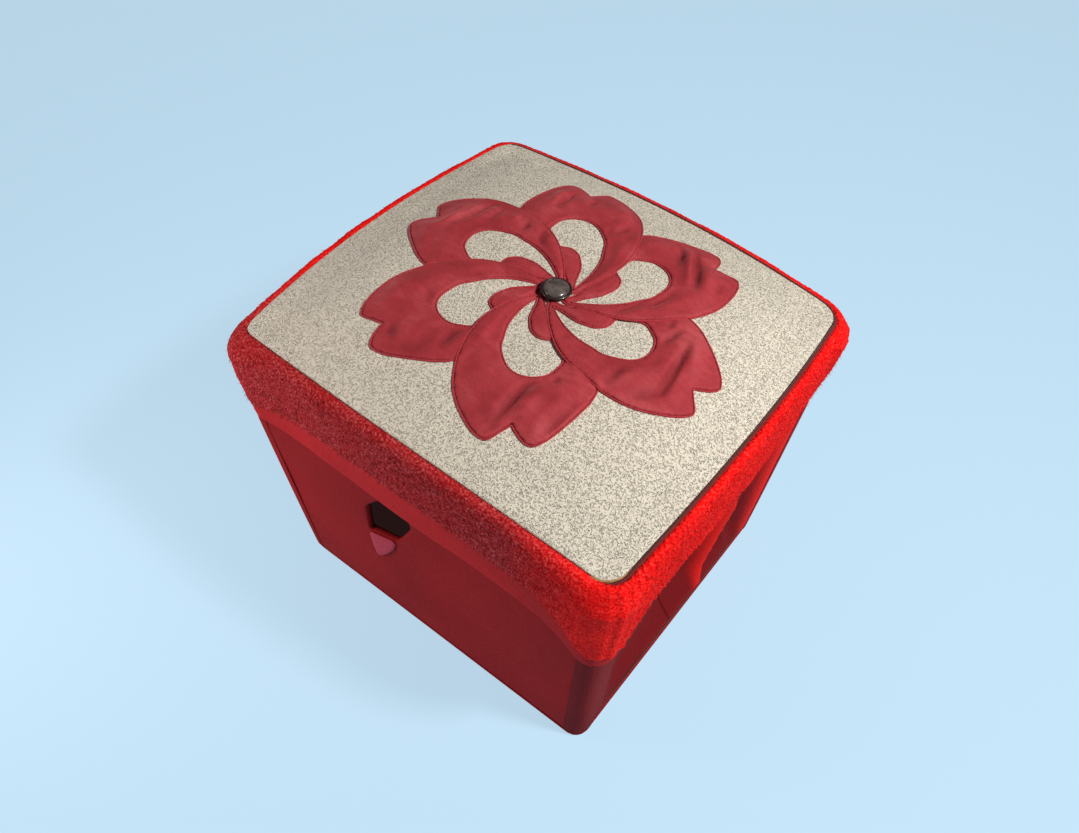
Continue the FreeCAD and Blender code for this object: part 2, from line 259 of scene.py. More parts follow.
class Nodes:
    """Short calls for building one node material."""

    def __init__(self, name, roughness, sheen=0.0, sheen_tint=(1, 1, 1)):
        self.material = bpy.data.materials.new(name)
        self.material.use_nodes = True
        self.tree = self.material.node_tree
        self.shader = self.tree.nodes["Principled BSDF"]
        self.set("Roughness", roughness)
        self.set("Sheen Weight", sheen)
        self.set("Sheen Roughness", 0.45)
        self.set("Sheen Tint", (*sheen_tint, 1))
        self.set("Specular IOR Level", 0.25)
        self.place = self.tree.nodes.new("ShaderNodeTexCoord").outputs["Object"]

    def set(self, name, value):
        self.shader.inputs[name].default_value = value

    def link(self, source, target):
        self.tree.links.new(source, target)

    def scaled(self, x, y, z):
        """The object's coordinates in metres, multiplied along each axis."""
        mapping = self.tree.nodes.new("ShaderNodeMapping")
        mapping.inputs["Scale"].default_value = (x, y, z)
        self.link(self.place, mapping.inputs["Vector"])
        return mapping.outputs["Vector"]

    def texture(self, kind, vector=None, **values):
        """A texture node; each value's name is its socket's name with _ for a space."""
        node = self.tree.nodes.new(kind)
        for name, value in values.items():
            node.inputs[name.replace("_", " ")].default_value = value
        self.link(vector or self.place, node.inputs["Vector"])
        return node

    def noise(self, scale, detail=2.0, distortion=0.0, vector=None):
        node = self.texture("ShaderNodeTexNoise", vector, Scale=scale, Detail=detail, Distortion=distortion)
        return node.outputs["Fac"]

    def math(self, operation, first, second=0.0):
        node = self.tree.nodes.new("ShaderNodeMath")
        node.operation = operation
        for value, socket in ((first, node.inputs[0]), (second, node.inputs[1])):
            if isinstance(value, (int, float)):
                socket.default_value = value
            else:
                self.link(value, socket)
        return node.outputs[0]

    def ramp(self, value, *stops):
        """Colours or greys at positions from 0 to 1."""
        node = self.tree.nodes.new("ShaderNodeValToRGB")
        elements = node.color_ramp.elements
        while len(elements) < len(stops):
            elements.new(0.5)
        for element, (position, colour) in zip(elements, stops):
            element.position = position
            element.color = (*colour, 1) if isinstance(colour, tuple) else (colour, colour, colour, 1)
        self.link(value, node.inputs["Fac"])
        return node.outputs["Color"]

    def mix(self, factor, first, second, blend="MIX"):
        node = self.tree.nodes.new("ShaderNodeMix")
        node.data_type = "RGBA"
        node.blend_type = blend
        sockets = [s for s in node.inputs if s.type == "RGBA"]
        result = [s for s in node.outputs if s.type == "RGBA"][0]
        for value, socket in ((factor, node.inputs["Factor"]), (first, sockets[0]), (second, sockets[1])):
            if isinstance(value, tuple):
                socket.default_value = (*value, 1)
            elif isinstance(value, (int, float)):
                socket.default_value = value
            else:
                self.link(value, socket)
        return result

    def colour(self, value):
        self.link(value, self.shader.inputs["Base Color"])

    def glow(self, colour, strength):
        self.set("Emission Color", (*colour, 1))
        self.set("Emission Strength", strength)

    def attribute(self, name):
        node = self.tree.nodes.new("ShaderNodeAttribute")
        node.attribute_name = name
        return node.outputs["Fac"]

    def bump(self, height, distance):
        """Raises the surface by distance metres where height is 1."""
        node = self.tree.nodes.new("ShaderNodeBump")
        node.inputs["Distance"].default_value = distance
        self.link(height, node.inputs["Height"])
        self.link(node.outputs["Normal"], self.shader.inputs["Normal"])


def linear(red, green, blue):
    """Linear colour of an sRGB colour given from 0 to 255."""
    def one(value):
        share = value / 255
        return share / 12.92 if share <= 0.04045 else ((share + 0.055) / 1.055) ** 2.4
    return (one(red), one(green), one(blue))


def cream_material():
    """Pebbled cream cloth: short wiggly dents, painted a little darker than the cloth as shade in them."""
    n = Nodes("cream_pebbled_cloth", 0.88, sheen=0.1)
    wiggle = n.noise(560, 1.5, 0.7)
    crest = n.math("ABSOLUTE", n.math("SUBTRACT", wiggle, 0.5))
    dash = n.ramp(crest, (0.0, 0.0), (0.075, 1.0))
    gate = n.ramp(n.noise(620, 1.0, 0.2), (0.4, 1.0), (0.56, 0.0))
    dents = n.mix(gate, dash, (1.0, 1.0, 1.0))
    grain = n.noise(1500, 2.0)
    patches = n.noise(9, 3.0)
    cloth = n.mix(patches, linear(218, 208, 190), linear(232, 223, 207))
    cloth = n.mix(n.ramp(grain, (0.3, 0.2), (0.7, 0.0)), cloth, linear(200, 188, 168))
    # Painted shade: the dents are coloured darker than the cloth around them.
    n.colour(n.mix(dents, linear(190, 180, 162), cloth))
    n.bump(n.mix(0.2, dents, n.ramp(grain, (0.3, 0.0), (0.7, 1.0))), 0.0009)
    return n.material


def velour_material():
    """Red velour of the petals, its pile brushed in clouds, with painted shade in the valleys of its folds."""
    n = Nodes("petal_velour", 0.72, sheen=0.3, sheen_tint=linear(241, 142, 142))
    clouds = n.noise(26, 4.0, 0.8)
    fine = n.noise(900, 2.0)
    streaks = n.noise(1.0, 3.0, 0.2, n.scaled(90, 260, 90))
    base = n.ramp(clouds, (0.3, linear(149, 40, 47)), (0.5, linear(172, 53, 60)), (0.72, linear(189, 76, 81)))
    base = n.mix(n.ramp(streaks, (0.35, 0.3), (0.65, 0.0)), base, linear(142, 34, 43))
    base = n.mix(n.ramp(fine, (0.3, 0.3), (0.6, 0.0)), base, linear(132, 28, 38))
    # Painted shade: the velour darkens where a petal marks a fold's valley.
    n.colour(n.mix(n.math("MULTIPLY", n.attribute("painted_fold_shade"), 0.36), base, linear(91, 15, 26)))
    n.bump(fine, 0.0004)
    return n.material


def plush_material():
    """Vivid red plush, speckled by the tips and roots of its pile. Its front is painted darker and pinker as
    shade, its right side and back brighter as light.
    """
    n = Nodes("ribbed_plush", 0.85, sheen=0.12, sheen_tint=linear(255, 70, 60))
    n.set("Specular IOR Level", 0.08)
    pile = n.noise(620, 3.0, 0.4)
    patches = n.noise(30, 3.0)
    base = n.ramp(pile, (0.3, linear(190, 6, 8)), (0.5, linear(250, 16, 14)), (0.68, linear(255, 60, 52)))
    split = n.tree.nodes.new("ShaderNodeSeparateXYZ")
    n.link(n.place, split.inputs[0])
    # Painted light and shade: the right side and back get the bright copy of the pile's colours, the front a
    # darker, pinker copy.
    painted_lit_side = n.math("MAXIMUM", n.ramp(split.outputs["X"], (0.09, 0.0), (0.155, 1.0)),
                    n.ramp(n.math("ADD", split.outputs["Y"], 0.2), (0.05, 0.0), (0.13, 1.0)))
    painted_shaded_front = n.ramp(pile, (0.3, linear(112, 12, 18)), (0.5, linear(176, 34, 38)), (0.68, linear(206, 92, 92)))
    base = n.mix(painted_lit_side, painted_shaded_front, base)
    n.colour(n.mix(n.ramp(patches, (0.35, 0.3), (0.6, 0.0)), base, linear(170, 8, 12)))
    n.bump(pile, 0.0008)
    return n.material


WAVE_PER_METRE = 0.314                          # a wave texture of this scale has bands a metre apart


def twill_material(name, dark, light, pitch=0.0016):
    """Fine twill with level ribs, pitch metres apart, and a slightly uneven dye. Where a piece marks it, the
    cloth carries painted shade and painted light.
    """
    n = Nodes(name, 0.85, sheen=0.04, sheen_tint=linear(255, 130, 120))
    n.set("Specular IOR Level", 0.1)
    wave = n.texture("ShaderNodeTexWave", Scale=WAVE_PER_METRE / pitch, Distortion=1.2, Detail=2.0,
                     Detail_Scale=3.0)
    wave.bands_direction = "Z"
    ribs = wave.outputs["Fac"]
    threads = n.noise(1.0, 2.0, 0.0, n.scaled(900, 900, 260))
    patches = n.noise(7, 4.0, 0.5)
    base = n.mix(n.ramp(patches, (0.3, 0.0), (0.7, 1.0)), dark, light)
    shade = n.mix(0.5, n.ramp(ribs, (0.0, 0.72), (0.7, 1.0)), n.ramp(threads, (0.3, 0.7), (0.7, 1.0)))
    cloth = n.mix(1.0, base, shade, "MULTIPLY")
    # Painted shade: dark red where a piece marks the cloth as shaded.
    cloth = n.mix(n.math("MULTIPLY", n.attribute("painted_shade"), 0.6), cloth, linear(84, 16, 22))
    # Painted light: bright red where a piece marks the cloth as lit.
    n.colour(n.mix(n.math("MULTIPLY", n.attribute("raised"), 0.85), cloth, linear(246, 34, 28)))
    n.bump(n.mix(0.5, n.ramp(ribs, (0.0, 0.0), (1.0, 1.0)), n.ramp(threads, (0.3, 0.0), (0.7, 1.0))), 0.0004)
    return n.material


def lining_material():
    """Dark non-woven lining with small pressed dots, and a faint painted glow."""
    n = Nodes("lining_cloth", 0.9)
    cell = n.texture("ShaderNodeTexVoronoi", Scale=420, Randomness=0.25)
    dots = n.ramp(cell.outputs["Distance"], (0.2, 0.0), (0.45, 1.0))
    fibre = n.noise(260, 5.0, 1.5)
    base = n.mix(fibre, linear(70, 44, 44), linear(96, 64, 62))
    n.colour(n.mix(dots, linear(52, 32, 33), base))
    # Painted light: the lining glows faintly, though it is no lamp.
    n.glow(linear(45, 28, 28), 0.6)
    n.bump(n.mix(0.4, dots, n.ramp(fibre, (0.3, 0.0), (0.7, 1.0))), 0.0003)
    return n.material


def fibreboard_material():
    """Raw brown fibreboard with long fibres and dark specks."""
    n = Nodes("raw_fibreboard", 0.85)
    fibre = n.noise(1.0, 6.0, 0.5, n.scaled(160, 160, 420))
    specks = n.noise(900, 2.0)
    base = n.ramp(fibre, (0.3, linear(150, 116, 78)), (0.7, linear(186, 152, 108)))
    n.colour(n.mix(n.ramp(specks, (0.3, 0.5), (0.5, 0.0)), base, linear(110, 80, 50)))
    n.bump(fibre, 0.0003)
    return n.material


def thread_material(name, colour, dark):
    """Twisted thread, darker between its strands; also the dark strip that stands for a groove's shade."""
    n = Nodes(name, 0.7, sheen=0.3)
    strands = n.noise(1600, 2.0)
    n.colour(n.mix(n.ramp(strands, (0.3, 0.0), (0.7, 1.0)), dark, colour))
    n.bump(strands, 0.0003)
    return n.material


def moulded_material(name, base, worn, roughness, coat):
    """Moulded plastic with faint swirls and rubbed patches."""
    n = Nodes(name, roughness)
    n.set("Specular IOR Level", 0.5)
    n.set("Coat Weight", coat)
    n.set("Coat Roughness", 0.08)
    swirl = n.noise(160, 3.0, 1.2)
    n.colour(n.mix(n.ramp(swirl, (0.35, 0.0), (0.7, 1.0)), base, worn))
    n.link(n.ramp(n.noise(500, 2.0), (0.3, roughness * 0.8), (0.7, roughness * 1.3)),
           n.shader.inputs["Roughness"])
    n.bump(swirl, 0.00012)
    return n.material


def steel_material():
    """Zinc-plated steel with fine scratches."""
    n = Nodes("zinc_steel", 0.35)
    n.set("Metallic", 1.0)
    scratches = n.noise(1.0, 4.0, 0.3, n.scaled(2200, 120, 120))
    n.colour(n.mix(scratches, linear(150, 150, 152), linear(190, 190, 188)))
    n.bump(scratches, 0.0001)
    return n.material


CREAM = cream_material()
VELOUR = velour_material()
PLUSH = plush_material()
HEM = twill_material("hem_twill", linear(186, 30, 34), linear(214, 37, 40))
TWILL = twill_material("body_twill", linear(152, 22, 26), linear(176, 28, 31))
TAB = twill_material("tab_cloth", linear(190, 60, 76), linear(214, 84, 98), 0.0022)
LINING = lining_material()
BOARD = fibreboard_material()
EDGE_CORD = thread_material("petal_edge_thread", linear(198, 50, 62), linear(140, 22, 34))
TUFT_CORD = thread_material("tuft_thread", linear(120, 100, 90), linear(70, 55, 50))
CAP = moulded_material("button_cap_plastic", linear(70, 60, 56), linear(104, 92, 86), 0.25, 0.5)
RIM = moulded_material("button_rim_plastic", linear(24, 20, 20), linear(44, 38, 36), 0.35, 0.3)
STEEL = steel_material()
# Painted shade: the dark strip in the seam's groove is coloured as the groove's shadow.
GROOVE_SHADE = thread_material("groove_shade_strip_cloth", linear(120, 30, 26), linear(70, 18, 16))


def finish_piece(piece, material, body, slot, *nodes):
    """Gives a new piece its material and its body, and hides the CAD nodes it stands for; slot is not used."""
    piece.data.materials.append(material)
    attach(piece, body)
    if nodes:
        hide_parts(*nodes)
    return piece


# ---------------------------------------------------------------- lid shape


def bowed(points):
    """Bends the sides of the seam's rectangle outward at their middles."""
    x, y = points[:, 0], points[:, 1]
    bow_x = np.where(x > 0, BOW["right"], BOW["left"])
    bow_y = np.where(y > 0, BOW["back"], BOW["front"])
    out = points.copy()
    out[:, 0] = x + x / SEAM_HALF[0] * bow_x * np.clip(1 - (y / SEAM_HALF[1]) ** 2, 0, 1)
    out[:, 1] = y + y / SEAM_HALF[1] * bow_y * np.clip(1 - (x / SEAM_HALF[0]) ** 2, 0, 1)
    return out


def near_corner(points, corner, power, half=SEAM_HALF, limit=1.0):
    """1 at a corner of a rectangle and less the farther away, faster with a higher power."""
    u, v = (np.clip(points[:, axis] / half[axis], -limit, limit) * corner[axis] for axis in (0, 1))
    return np.clip((1 + u) / 2 * (1 + v) / 2, 0, 1) ** power


def seam_height(points):
    """Height of the lid's seam, which droops towards the corners."""
    height = np.full(len(points), SEAM_HEIGHT)
    for corner, drop in SEAM_DROP.items():
        height -= drop * near_corner(points, corner, SEAM_DROOP_POWER, limit=1.05)
    return height


def crown_height(points):
    """Height of the padded panel above the seam plane, before the cloth settles."""
    u = np.clip(np.abs(points[:, 0]) / (SEAM_HALF[0] + 5), 0, 1)
    v = np.clip(np.abs(points[:, 1]) / (SEAM_HALF[1] + 5), 0, 1)
    return CROWN * (1 - u ** CROWN_POWER) * (1 - v ** CROWN_POWER)


def dimple(points):
    """Depth, as a negative height, of the hollow round the button."""
    away = np.hypot(points[:, 0] - FLOWER[0], points[:, 1] - FLOWER[1])
    return -DIMPLE_DEPTH * np.exp(-(away / DIMPLE_REACH) ** 2)


def rounded_grid():
    """A grid over the seam's rounded rectangle, its rings turning square towards the middle."""
    columns = int(2 * SEAM_HALF[0] / CELL) // 2 * 2 + 1
    rows = int(2 * SEAM_HALF[1] / CELL) // 2 * 2 + 1
    u, v = np.meshgrid(np.linspace(-1, 1, columns), np.linspace(-1, 1, rows))
    points = np.stack([u.ravel() * SEAM_HALF[0], v.ravel() * SEAM_HALF[1]], 1)
    ring = np.maximum(np.abs(u), np.abs(v)).ravel()
    for (side_x, side_y), radius in SEAM_RADIUS.items():
        shrunk = radius * ring ** 2
        corner = SEAM_HALF[None, :] * ring[:, None] - shrunk[:, None]
        inner = points * (side_x, side_y) - corner
        hit = (inner > 0).all(1) & (shrunk > 1e-6)
        size = np.hypot(inner[:, 0], inner[:, 1])
        square = np.maximum(inner[:, 0], inner[:, 1])
        factor = np.where(hit, square / np.maximum(size, 1e-9), 1.0)
        moved = (corner + inner * factor[:, None]) * (side_x, side_y)
        points = np.where(hit[:, None], moved, points)
    return points, rows, columns


def outline_ring(step):
    """Seam line of the lid: points, outward directions and distance run, anticlockwise."""
    points = []
    order = [((1, -1), -90), ((1, 1), 0), ((-1, 1), 90), ((-1, -1), 180)]
    for (side_x, side_y), start in order:
        radius = SEAM_RADIUS[(side_x, side_y)]
        centre = (SEAM_HALF - radius) * (side_x, side_y)
        turns = max(8, int(radius * math.pi / 2 / step))
        for k in range(turns + 1):
            angle = math.radians(start + 90 * k / turns)
            points.append(centre + radius * np.array([math.cos(angle), math.sin(angle)]))
    even, places = evenly(np.array(points + points[:1]), step, 3)
    even = bowed(even)
    return even, outward_of(even), places


def ring_row(points, outward, out, height):
    """A row of points moved outward, at one height or at a height each."""
    return np.column_stack([points + outward * np.reshape(out, (-1, 1)), np.full(len(points), height)])


def ring_piece(name, rows, material, slot, *nodes):
    """A closed ring of cloth on the lid. Each row of its points goes once round the lid."""
    faces = reversed_faces(grid_faces(len(rows), len(rows[0]), True, True))
    piece = make_mesh(name, np.vstack(rows), faces)
    return finish_piece(piece, material, "lid", slot, *nodes)


# Lower edges of the lid's bands: the level, and how far each corner is raised and how narrowly.
HEM_LEVEL = 203.0
HEM_CORNERS = [((1, -1), -41.0, 11), ((1, 1), 12.0, 3), ((-1, 1), 2.0, 2)]
PLUSH_LEVEL = 226.0
PLUSH_CORNERS = [((1, -1), -60.0, 13), ((-1, -1), -14.0, 8)]
PLUSH_FRONT_RISE = 10.0
PLUSH_RIGHT_DROP = 8.0


def lower_edge(points, level, corners):
    """Height of a lower edge that is raised or lowered at its corners."""
    height = np.full(len(points), level)
    for corner, raised, power in corners:
        height += raised * near_corner(points, corner, power)
    return height


def hem_height(points):
    """Height of the lid's lower edge: it hangs lowest at the near right corner."""
    return lower_edge(points, HEM_LEVEL, HEM_CORNERS)


def plush_height(points):
    """Height of the plush band's lower edge, which is higher along the front than along the right."""
    front = smooth_step(0.8, 1.0, -points[:, 1] / SEAM_HALF[1])
    right = smooth_step(0.85, 1.0, points[:, 0] / SEAM_HALF[0])
    height = lower_edge(points, PLUSH_LEVEL, PLUSH_CORNERS)
    height += PLUSH_FRONT_RISE * front * np.clip(1 - (points[:, 0] / SEAM_HALF[0]) ** 2, 0, 1)
    return height - PLUSH_RIGHT_DROP * right * (1 - front)


# How far out and how far down from the seam the lid's side stands, for a side 90 mm deep.
SIDE_DEPTH = 90.0
SIDE_PROFILE = [
    (-1.5, 5.0), (-0.8, 2.2), (0.8, 0.7), (3.4, 0.4), (6.2, 1.8), (8.4, 4.6), (9.6, 8.0), (10.0, 12.0),
    (10.0, 20.0), (9.6, 30.0), (9.0, 45.0), (8.0, 60.0), (7.0, 76.0), (6.2, 90.0),
]
SIDE_FULLNESS = {(1, 0): 0.95, (0, 1): 1.1, (-1, 0): 1.0, (0, -1): 0.9}
PILE_REACH = np.array([185.6, 172.2])           # the loose fibres lie flat beyond this
CORNER_FULLNESS = {(1, -1): 8.0, (-1, -1): 10.0, (1, 1): 9.0, (-1, 1): 5.0}
TAPERED_CORNER = (1, 1)                         # this corner's fullness ends above the lower edge


def side_surface(points, outward, drop_share):
    """How far out, and at what height, the lid's side is at a share of its depth."""
    profile = np.array(SIDE_PROFILE)
    top = seam_height(points)
    down = drop_share * SIDE_DEPTH
    full = sum(fullness * np.clip(outward @ side, 0, 1) ** 2 for side, fullness in SIDE_FULLNESS.items())
    out = full * np.interp(down, profile[2:, 1], profile[2:, 0])
    for corner, extra in CORNER_FULLNESS.items():
        reach = extra * smooth_step(1.0, 22.0, down)
        if corner == TAPERED_CORNER:
            reach = reach * (1 - 0.8 * smooth_step(40.0, 88.0, down))
        out = out + reach * near_corner(points, corner, 11)
    return out, top - down / SIDE_DEPTH * (top - hem_height(points))


CLOTH_SETTINGS = {"quality": 6, "mass": 0.3, "tension_stiffness": 18, "compression_stiffness": 18,
                  "shear_stiffness": 6, "bending_stiffness": 1.5, "use_pressure": True,
                  "uniform_pressure_force": 4.0, "shrink_min": -0.012}
CLOTH_FRAMES = 20
BUTTON_HOLD = 9.0                               # the cloth is held this far round the button
HOLLOW_REACH = 20.0                             # it is free of the button's pull beyond this
TYPICAL_RISE = 3.0                              # rise that nine tenths of the free cloth stay under
RELIEF_LOW, RELIEF_HIGH = -3.0, 4.0
EASE_REACH = 22.0                               # the relief fades out this far from the seam


def build_cushion():
    """The cream top panel over its foam: a closed crowned form, blown up by cloth simulation."""
    flat, rows, columns = rounded_grid()
    plan = bowed(flat)
    height = seam_height(plan) + crown_height(plan)
    top = np.column_stack([plan, height])
    loop = np.roll(grid_border(rows, columns), rows - 1)
    faces = grid_faces(rows, columns)
    points = [top]
    ring = top[loop]
    inward = ring[:, :2].mean(0) - ring[:, :2]
    inward /= np.hypot(inward[:, 0], inward[:, 1])[:, None]
    previous = loop
    for tuck, down in CUSHION_EDGE:
        points.append(ring_row(ring[:, :2], inward, tuck, ring[:, 2] - down))
        current = np.arange(len(loop)) + sum(map(len, points[:-1]))
        faces += np.stack([previous, current, np.roll(current, -1), np.roll(previous, -1)], 1).tolist()
        previous = current
    under = np.arange(len(top)) + sum(map(len, points))
    under[loop] = previous
    faces += under[np.array(reversed_faces(grid_faces(rows, columns)))].tolist()
    points.append(np.column_stack([plan * CUSHION_TAPER, seam_height(plan) - CUSHION_DEPTH]))
    points = np.vstack(points)
    used, joined = np.unique(np.array(faces), return_inverse=True)
    points = points[used]
    faces = joined.reshape(-1, 4).tolist()
    cushion = make_mesh("cushion_top", points, faces)
    points = blown_up(cushion, points, loop, len(top))
    points[:len(top), 2] += dimple(points[:len(top), :2])
    cushion.data.vertices.foreach_set("co", (points * MM).ravel())
    cushion.data.update()
    subdivide = cushion.modifiers.new("smooth", "SUBSURF")
    subdivide.levels = subdivide.render_levels = 1
    apply_modifiers(cushion)
    return finish_piece(cushion, CREAM, "lid", "cream_fabric", "lid_top_cover", "lid_foam")


def blown_up(cushion, points, loop, top_count):
    """Points of the cushion after a cloth simulation that presses its top out from inside."""
    held = cushion.vertex_groups.new(name="held")
    away = np.hypot(points[:, 0] - FLOWER[0], points[:, 1] - FLOWER[1])
    free = np.zeros(len(points), bool)
    free[:top_count] = True
    free[loop] = False
    free &= away > BUTTON_HOLD
    held.add([int(index) for index in np.nonzero(~free)[0]], 1.0, "REPLACE")
    cloth = cushion.modifiers.new("blow_up", "CLOTH")
    for name, value in CLOTH_SETTINGS.items():
        setattr(cloth.settings, name, value)
    cloth.settings.vertex_group_mass = "held"
    cloth.settings.effector_weights.gravity = 0.0
    cloth.collision_settings.use_collision = False
    cloth.collision_settings.use_self_collision = False
    scene = bpy.context.scene
    scene.frame_start, scene.frame_end = 1, CLOTH_FRAMES
    for frame_number in range(1, CLOTH_FRAMES + 1):
        scene.frame_set(frame_number)
    graph = bpy.context.evaluated_depsgraph_get()
    blown = cushion.evaluated_get(graph).to_mesh()
    moved = np.empty(len(points) * 3)
    blown.vertices.foreach_get("co", moved)
    cushion.evaluated_get(graph).to_mesh_clear()
    cushion.modifiers.clear()
    scene.frame_set(1)
    rise = np.where(free, moved[2::3] / MM - points[:, 2], 0)
    open_top = free & (away > HOLLOW_REACH)
    share = TYPICAL_RISE / max(abs(np.percentile(rise[open_top], 90)), 1e-6)
    relief = np.clip(rise * min(share, 1.0), RELIEF_LOW, RELIEF_HIGH)
    rest = points.copy()
    rest[:, 2] += relief - relief[open_top].max()
    rest[~free, 2] = points[~free, 2]
    ease = smooth_step(0.0, EASE_REACH, edge_distance(rest[:, :2]))
    rest[:, 2] = points[:, 2] + (rest[:, 2] - points[:, 2]) * ease
    return rest


def edge_distance(points):
    """Rough distance from the seam, inside it."""
    return np.minimum(SEAM_HALF[0] + 5 - np.abs(points[:, 0]), SEAM_HALF[1] + 4 - np.abs(points[:, 1]))


def apply_modifiers(piece):
    """Turns a piece into the plain mesh that its modifiers make of it."""
    graph = bpy.context.evaluated_depsgraph_get()
    mesh = bpy.data.meshes.new_from_object(piece.evaluated_get(graph))
    old = piece.data
    piece.modifiers.clear()
    piece.data = mesh
    bpy.data.meshes.remove(old)
    mesh.name = piece.name
    smooth_shaded(mesh)


cushion = build_cushion()


class Ground:
    """Height of the cushion's top at any place."""

    def __init__(self, piece):
        mesh = piece.data
        points = np.empty(len(mesh.vertices) * 3)
        mesh.vertices.foreach_get("co", points)
        polygons = [list(p.vertices) for p in mesh.polygons]
        self.tree = BVHTree.FromPolygons((points.reshape(-1, 3) / MM).tolist(), polygons)

    def heights(self, plan):
        down = Vector((0, 0, -1))
        return np.array([self.tree.ray_cast(Vector((x, y, 400.0)), down)[0].z for x, y in plan])


ground = Ground(cushion)

# ---------------------------------------------------------------- lid side

PLUSH_CELL = 1.3
RIB_PITCH = 5.2
PILE_COUNT = 9000
BAND_THICK = 3.4
HEM_CELL = 4.0
HEM_TUCK = 9.0                                  # how far the hem goes up behind the plush
RAIL_GAP = 1.6                                  # between the rails and the cloth that covers them inside


def plush_texture(surface, outward, run):
    """Ribs, tufts and lumps of the plush, pushed out along the band's outward direction."""
    rows, columns, _ = surface.shape
    flat = surface.reshape(-1, 3)
    push = 0.9 * perlin(flat, 26.0, 3) + 0.55 * perlin(flat, 2.6, 7)
    rib = np.where(outward[:, 0] > 0.7, 1.0, 0.15) * np.cos(2 * math.pi * run / RIB_PITCH)
    push = push.reshape(rows, columns) + rib
    push *= smooth_step(0.0, 0.06, np.linspace(0, 1, rows)[:, None])
    moved = surface.copy()
    moved[:, :, :2] += outward * push[:, :, None]
    return moved


def groove_at(outward):
    """1 on the right and back, where the seam shows as a groove, and 0 on the front and left."""
    return smooth_step(0.3, 0.9, np.maximum(outward[:, 0], outward[:, 1]))


def build_plush():
    """The plush band round the lid's side. Returns its outer surface and the outward directions."""
    points, outward, run = outline_ring(PLUSH_CELL)
    top = seam_height(points)
    low_share = (top - plush_height(points)) / (top - hem_height(points))
    groove = groove_at(outward)
    rows = []
    for out, down in SIDE_PROFILE[:3]:
        rows.append(ring_row(points, outward, out + 2.0 * groove, top - down - 1.2 * groove))
    for share in np.linspace(SIDE_PROFILE[3][1] / SIDE_DEPTH, 1.0, 62):
        out, height = side_surface(points, outward, share * low_share)
        near = groove * (1 - smooth_step(0.0, 0.12, share))
        rolled = 2.6 * np.clip((share - 0.94) / 0.06, 0, 1) ** 2
        rows.append(ring_row(points, outward, out + 1.6 * near - rolled, height - 1.2 * near))
    surface = plush_texture(np.stack(rows), outward, run)
    back = []
    for share in (1.0, 0.6, 0.25, 0.06):
        out, height = side_surface(points, outward, share * low_share)
        back.append(ring_row(points, outward, out - BAND_THICK, height - 0.5))
    ring_piece("plush_band", [*surface, *back], PLUSH, "plush_fabric", "lid_plush_band")
    return surface, outward


def build_pile(surface, outward):
    """Loose fibres of the plush: thin closed spikes that lean down and out."""
    rng = np.random.default_rng(11)
    rows, columns, _ = surface.shape
    row = rng.integers(5, rows - 2, PILE_COUNT)
    column = rng.integers(0, columns, PILE_COUNT)
    root = surface[row, column]
    out = np.column_stack([outward[column], np.zeros(PILE_COUNT)])
    along = out[:, [1, 0, 2]] * (-1, 1, 0)
    lean = out * rng.uniform(0.25, 0.8, PILE_COUNT)[:, None]
    lean += along * rng.normal(0, 0.45, PILE_COUNT)[:, None]
    lean[:, 2] -= rng.uniform(0.1, 0.9, PILE_COUNT)
    lean /= np.linalg.norm(lean, axis=1)[:, None]
    length = rng.uniform(1.8, 4.0, PILE_COUNT)
    side = np.cross(lean, out)
    side /= np.linalg.norm(side, axis=1)[:, None]
    other = np.cross(lean, side)
    width = rng.uniform(0.16, 0.3, PILE_COUNT)
    points = []
    for angle in np.radians((0, 120, 240)):
        ring = side * math.cos(angle) + other * math.sin(angle)
        points.append(root - lean * 0.6 + ring * width[:, None])
    tip = root + lean * length[:, None]
    tip[:, :2] = np.clip(tip[:, :2], -PILE_REACH, PILE_REACH)
    points.append(tip)
    spike = np.array([(0, 2, 1), (0, 1, 3), (1, 2, 3), (2, 0, 3)])
    faces = (spike + 4 * np.arange(PILE_COUNT)[:, None, None]).reshape(-1, 3).tolist()
    pile = make_mesh("plush_pile", np.stack(points, 1).reshape(-1, 3), faces)
    finish_piece(pile, PLUSH, "lid", "plush_fabric")


def build_hem():
    """The smooth band below the plush, folded under at the lid's lower edge and up inside."""
    points, outward, _ = outline_ring(HEM_CELL)
    top = seam_height(points)
    high_share = (top - plush_height(points) - HEM_TUCK) / (top - hem_height(points))

    def side_row(share, behind):
        """A row at a share of the way from behind the plush to the lower edge."""
        out, height = side_surface(points, outward, high_share + (1 - high_share) * share)
        return ring_row(points, outward, out - behind, height)

    surface = np.stack([side_row(share, 2.0) for share in np.linspace(0, 1, 14)])
    swing = 0.9 * np.linspace(0, 1, len(surface))[:, None] * perlin(ring_row(points, outward, 0, 0), 45.0, 21)
    surface[:, :, :2] += outward * swing[:, :, None]
    edge, edge_level = surface[-1][:, :2], surface[-1][:, 2]
    rows = [*surface]
    for out, up in ((-0.5, -0.9), (-1.5, -1.3), (-2.4, -0.8), (-2.8, 1.0)):
        rows.append(ring_row(edge, outward, out, edge_level + up))
    half = np.array([node_box("lid_rail_right")[0][0], node_box("lid_rail_back")[0][1]]) - RAIL_GAP
    inner = np.clip(points, -half, half)
    rows += [ring_row(inner, outward, 0, height) for height in (219.5, 226.0, 240.0, 258.5)]
    for height, share in ((259.3, 0.96), (240.0, 0.95), (220.6, 0.95)):
        plan = (edge - outward * 2.0) * (1 - share) + (inner + outward * 0.9) * share
        rows.append(ring_row(plan, outward, 0, height))
    rows.append(ring_row(edge, outward, -1.7, edge_level + 1.6))
    rows += [side_row(share, BAND_THICK) for share in (0.5, 0.0)]
    ring_piece("hem_band", rows, HEM, "hem_fabric", "lid_smooth_band")


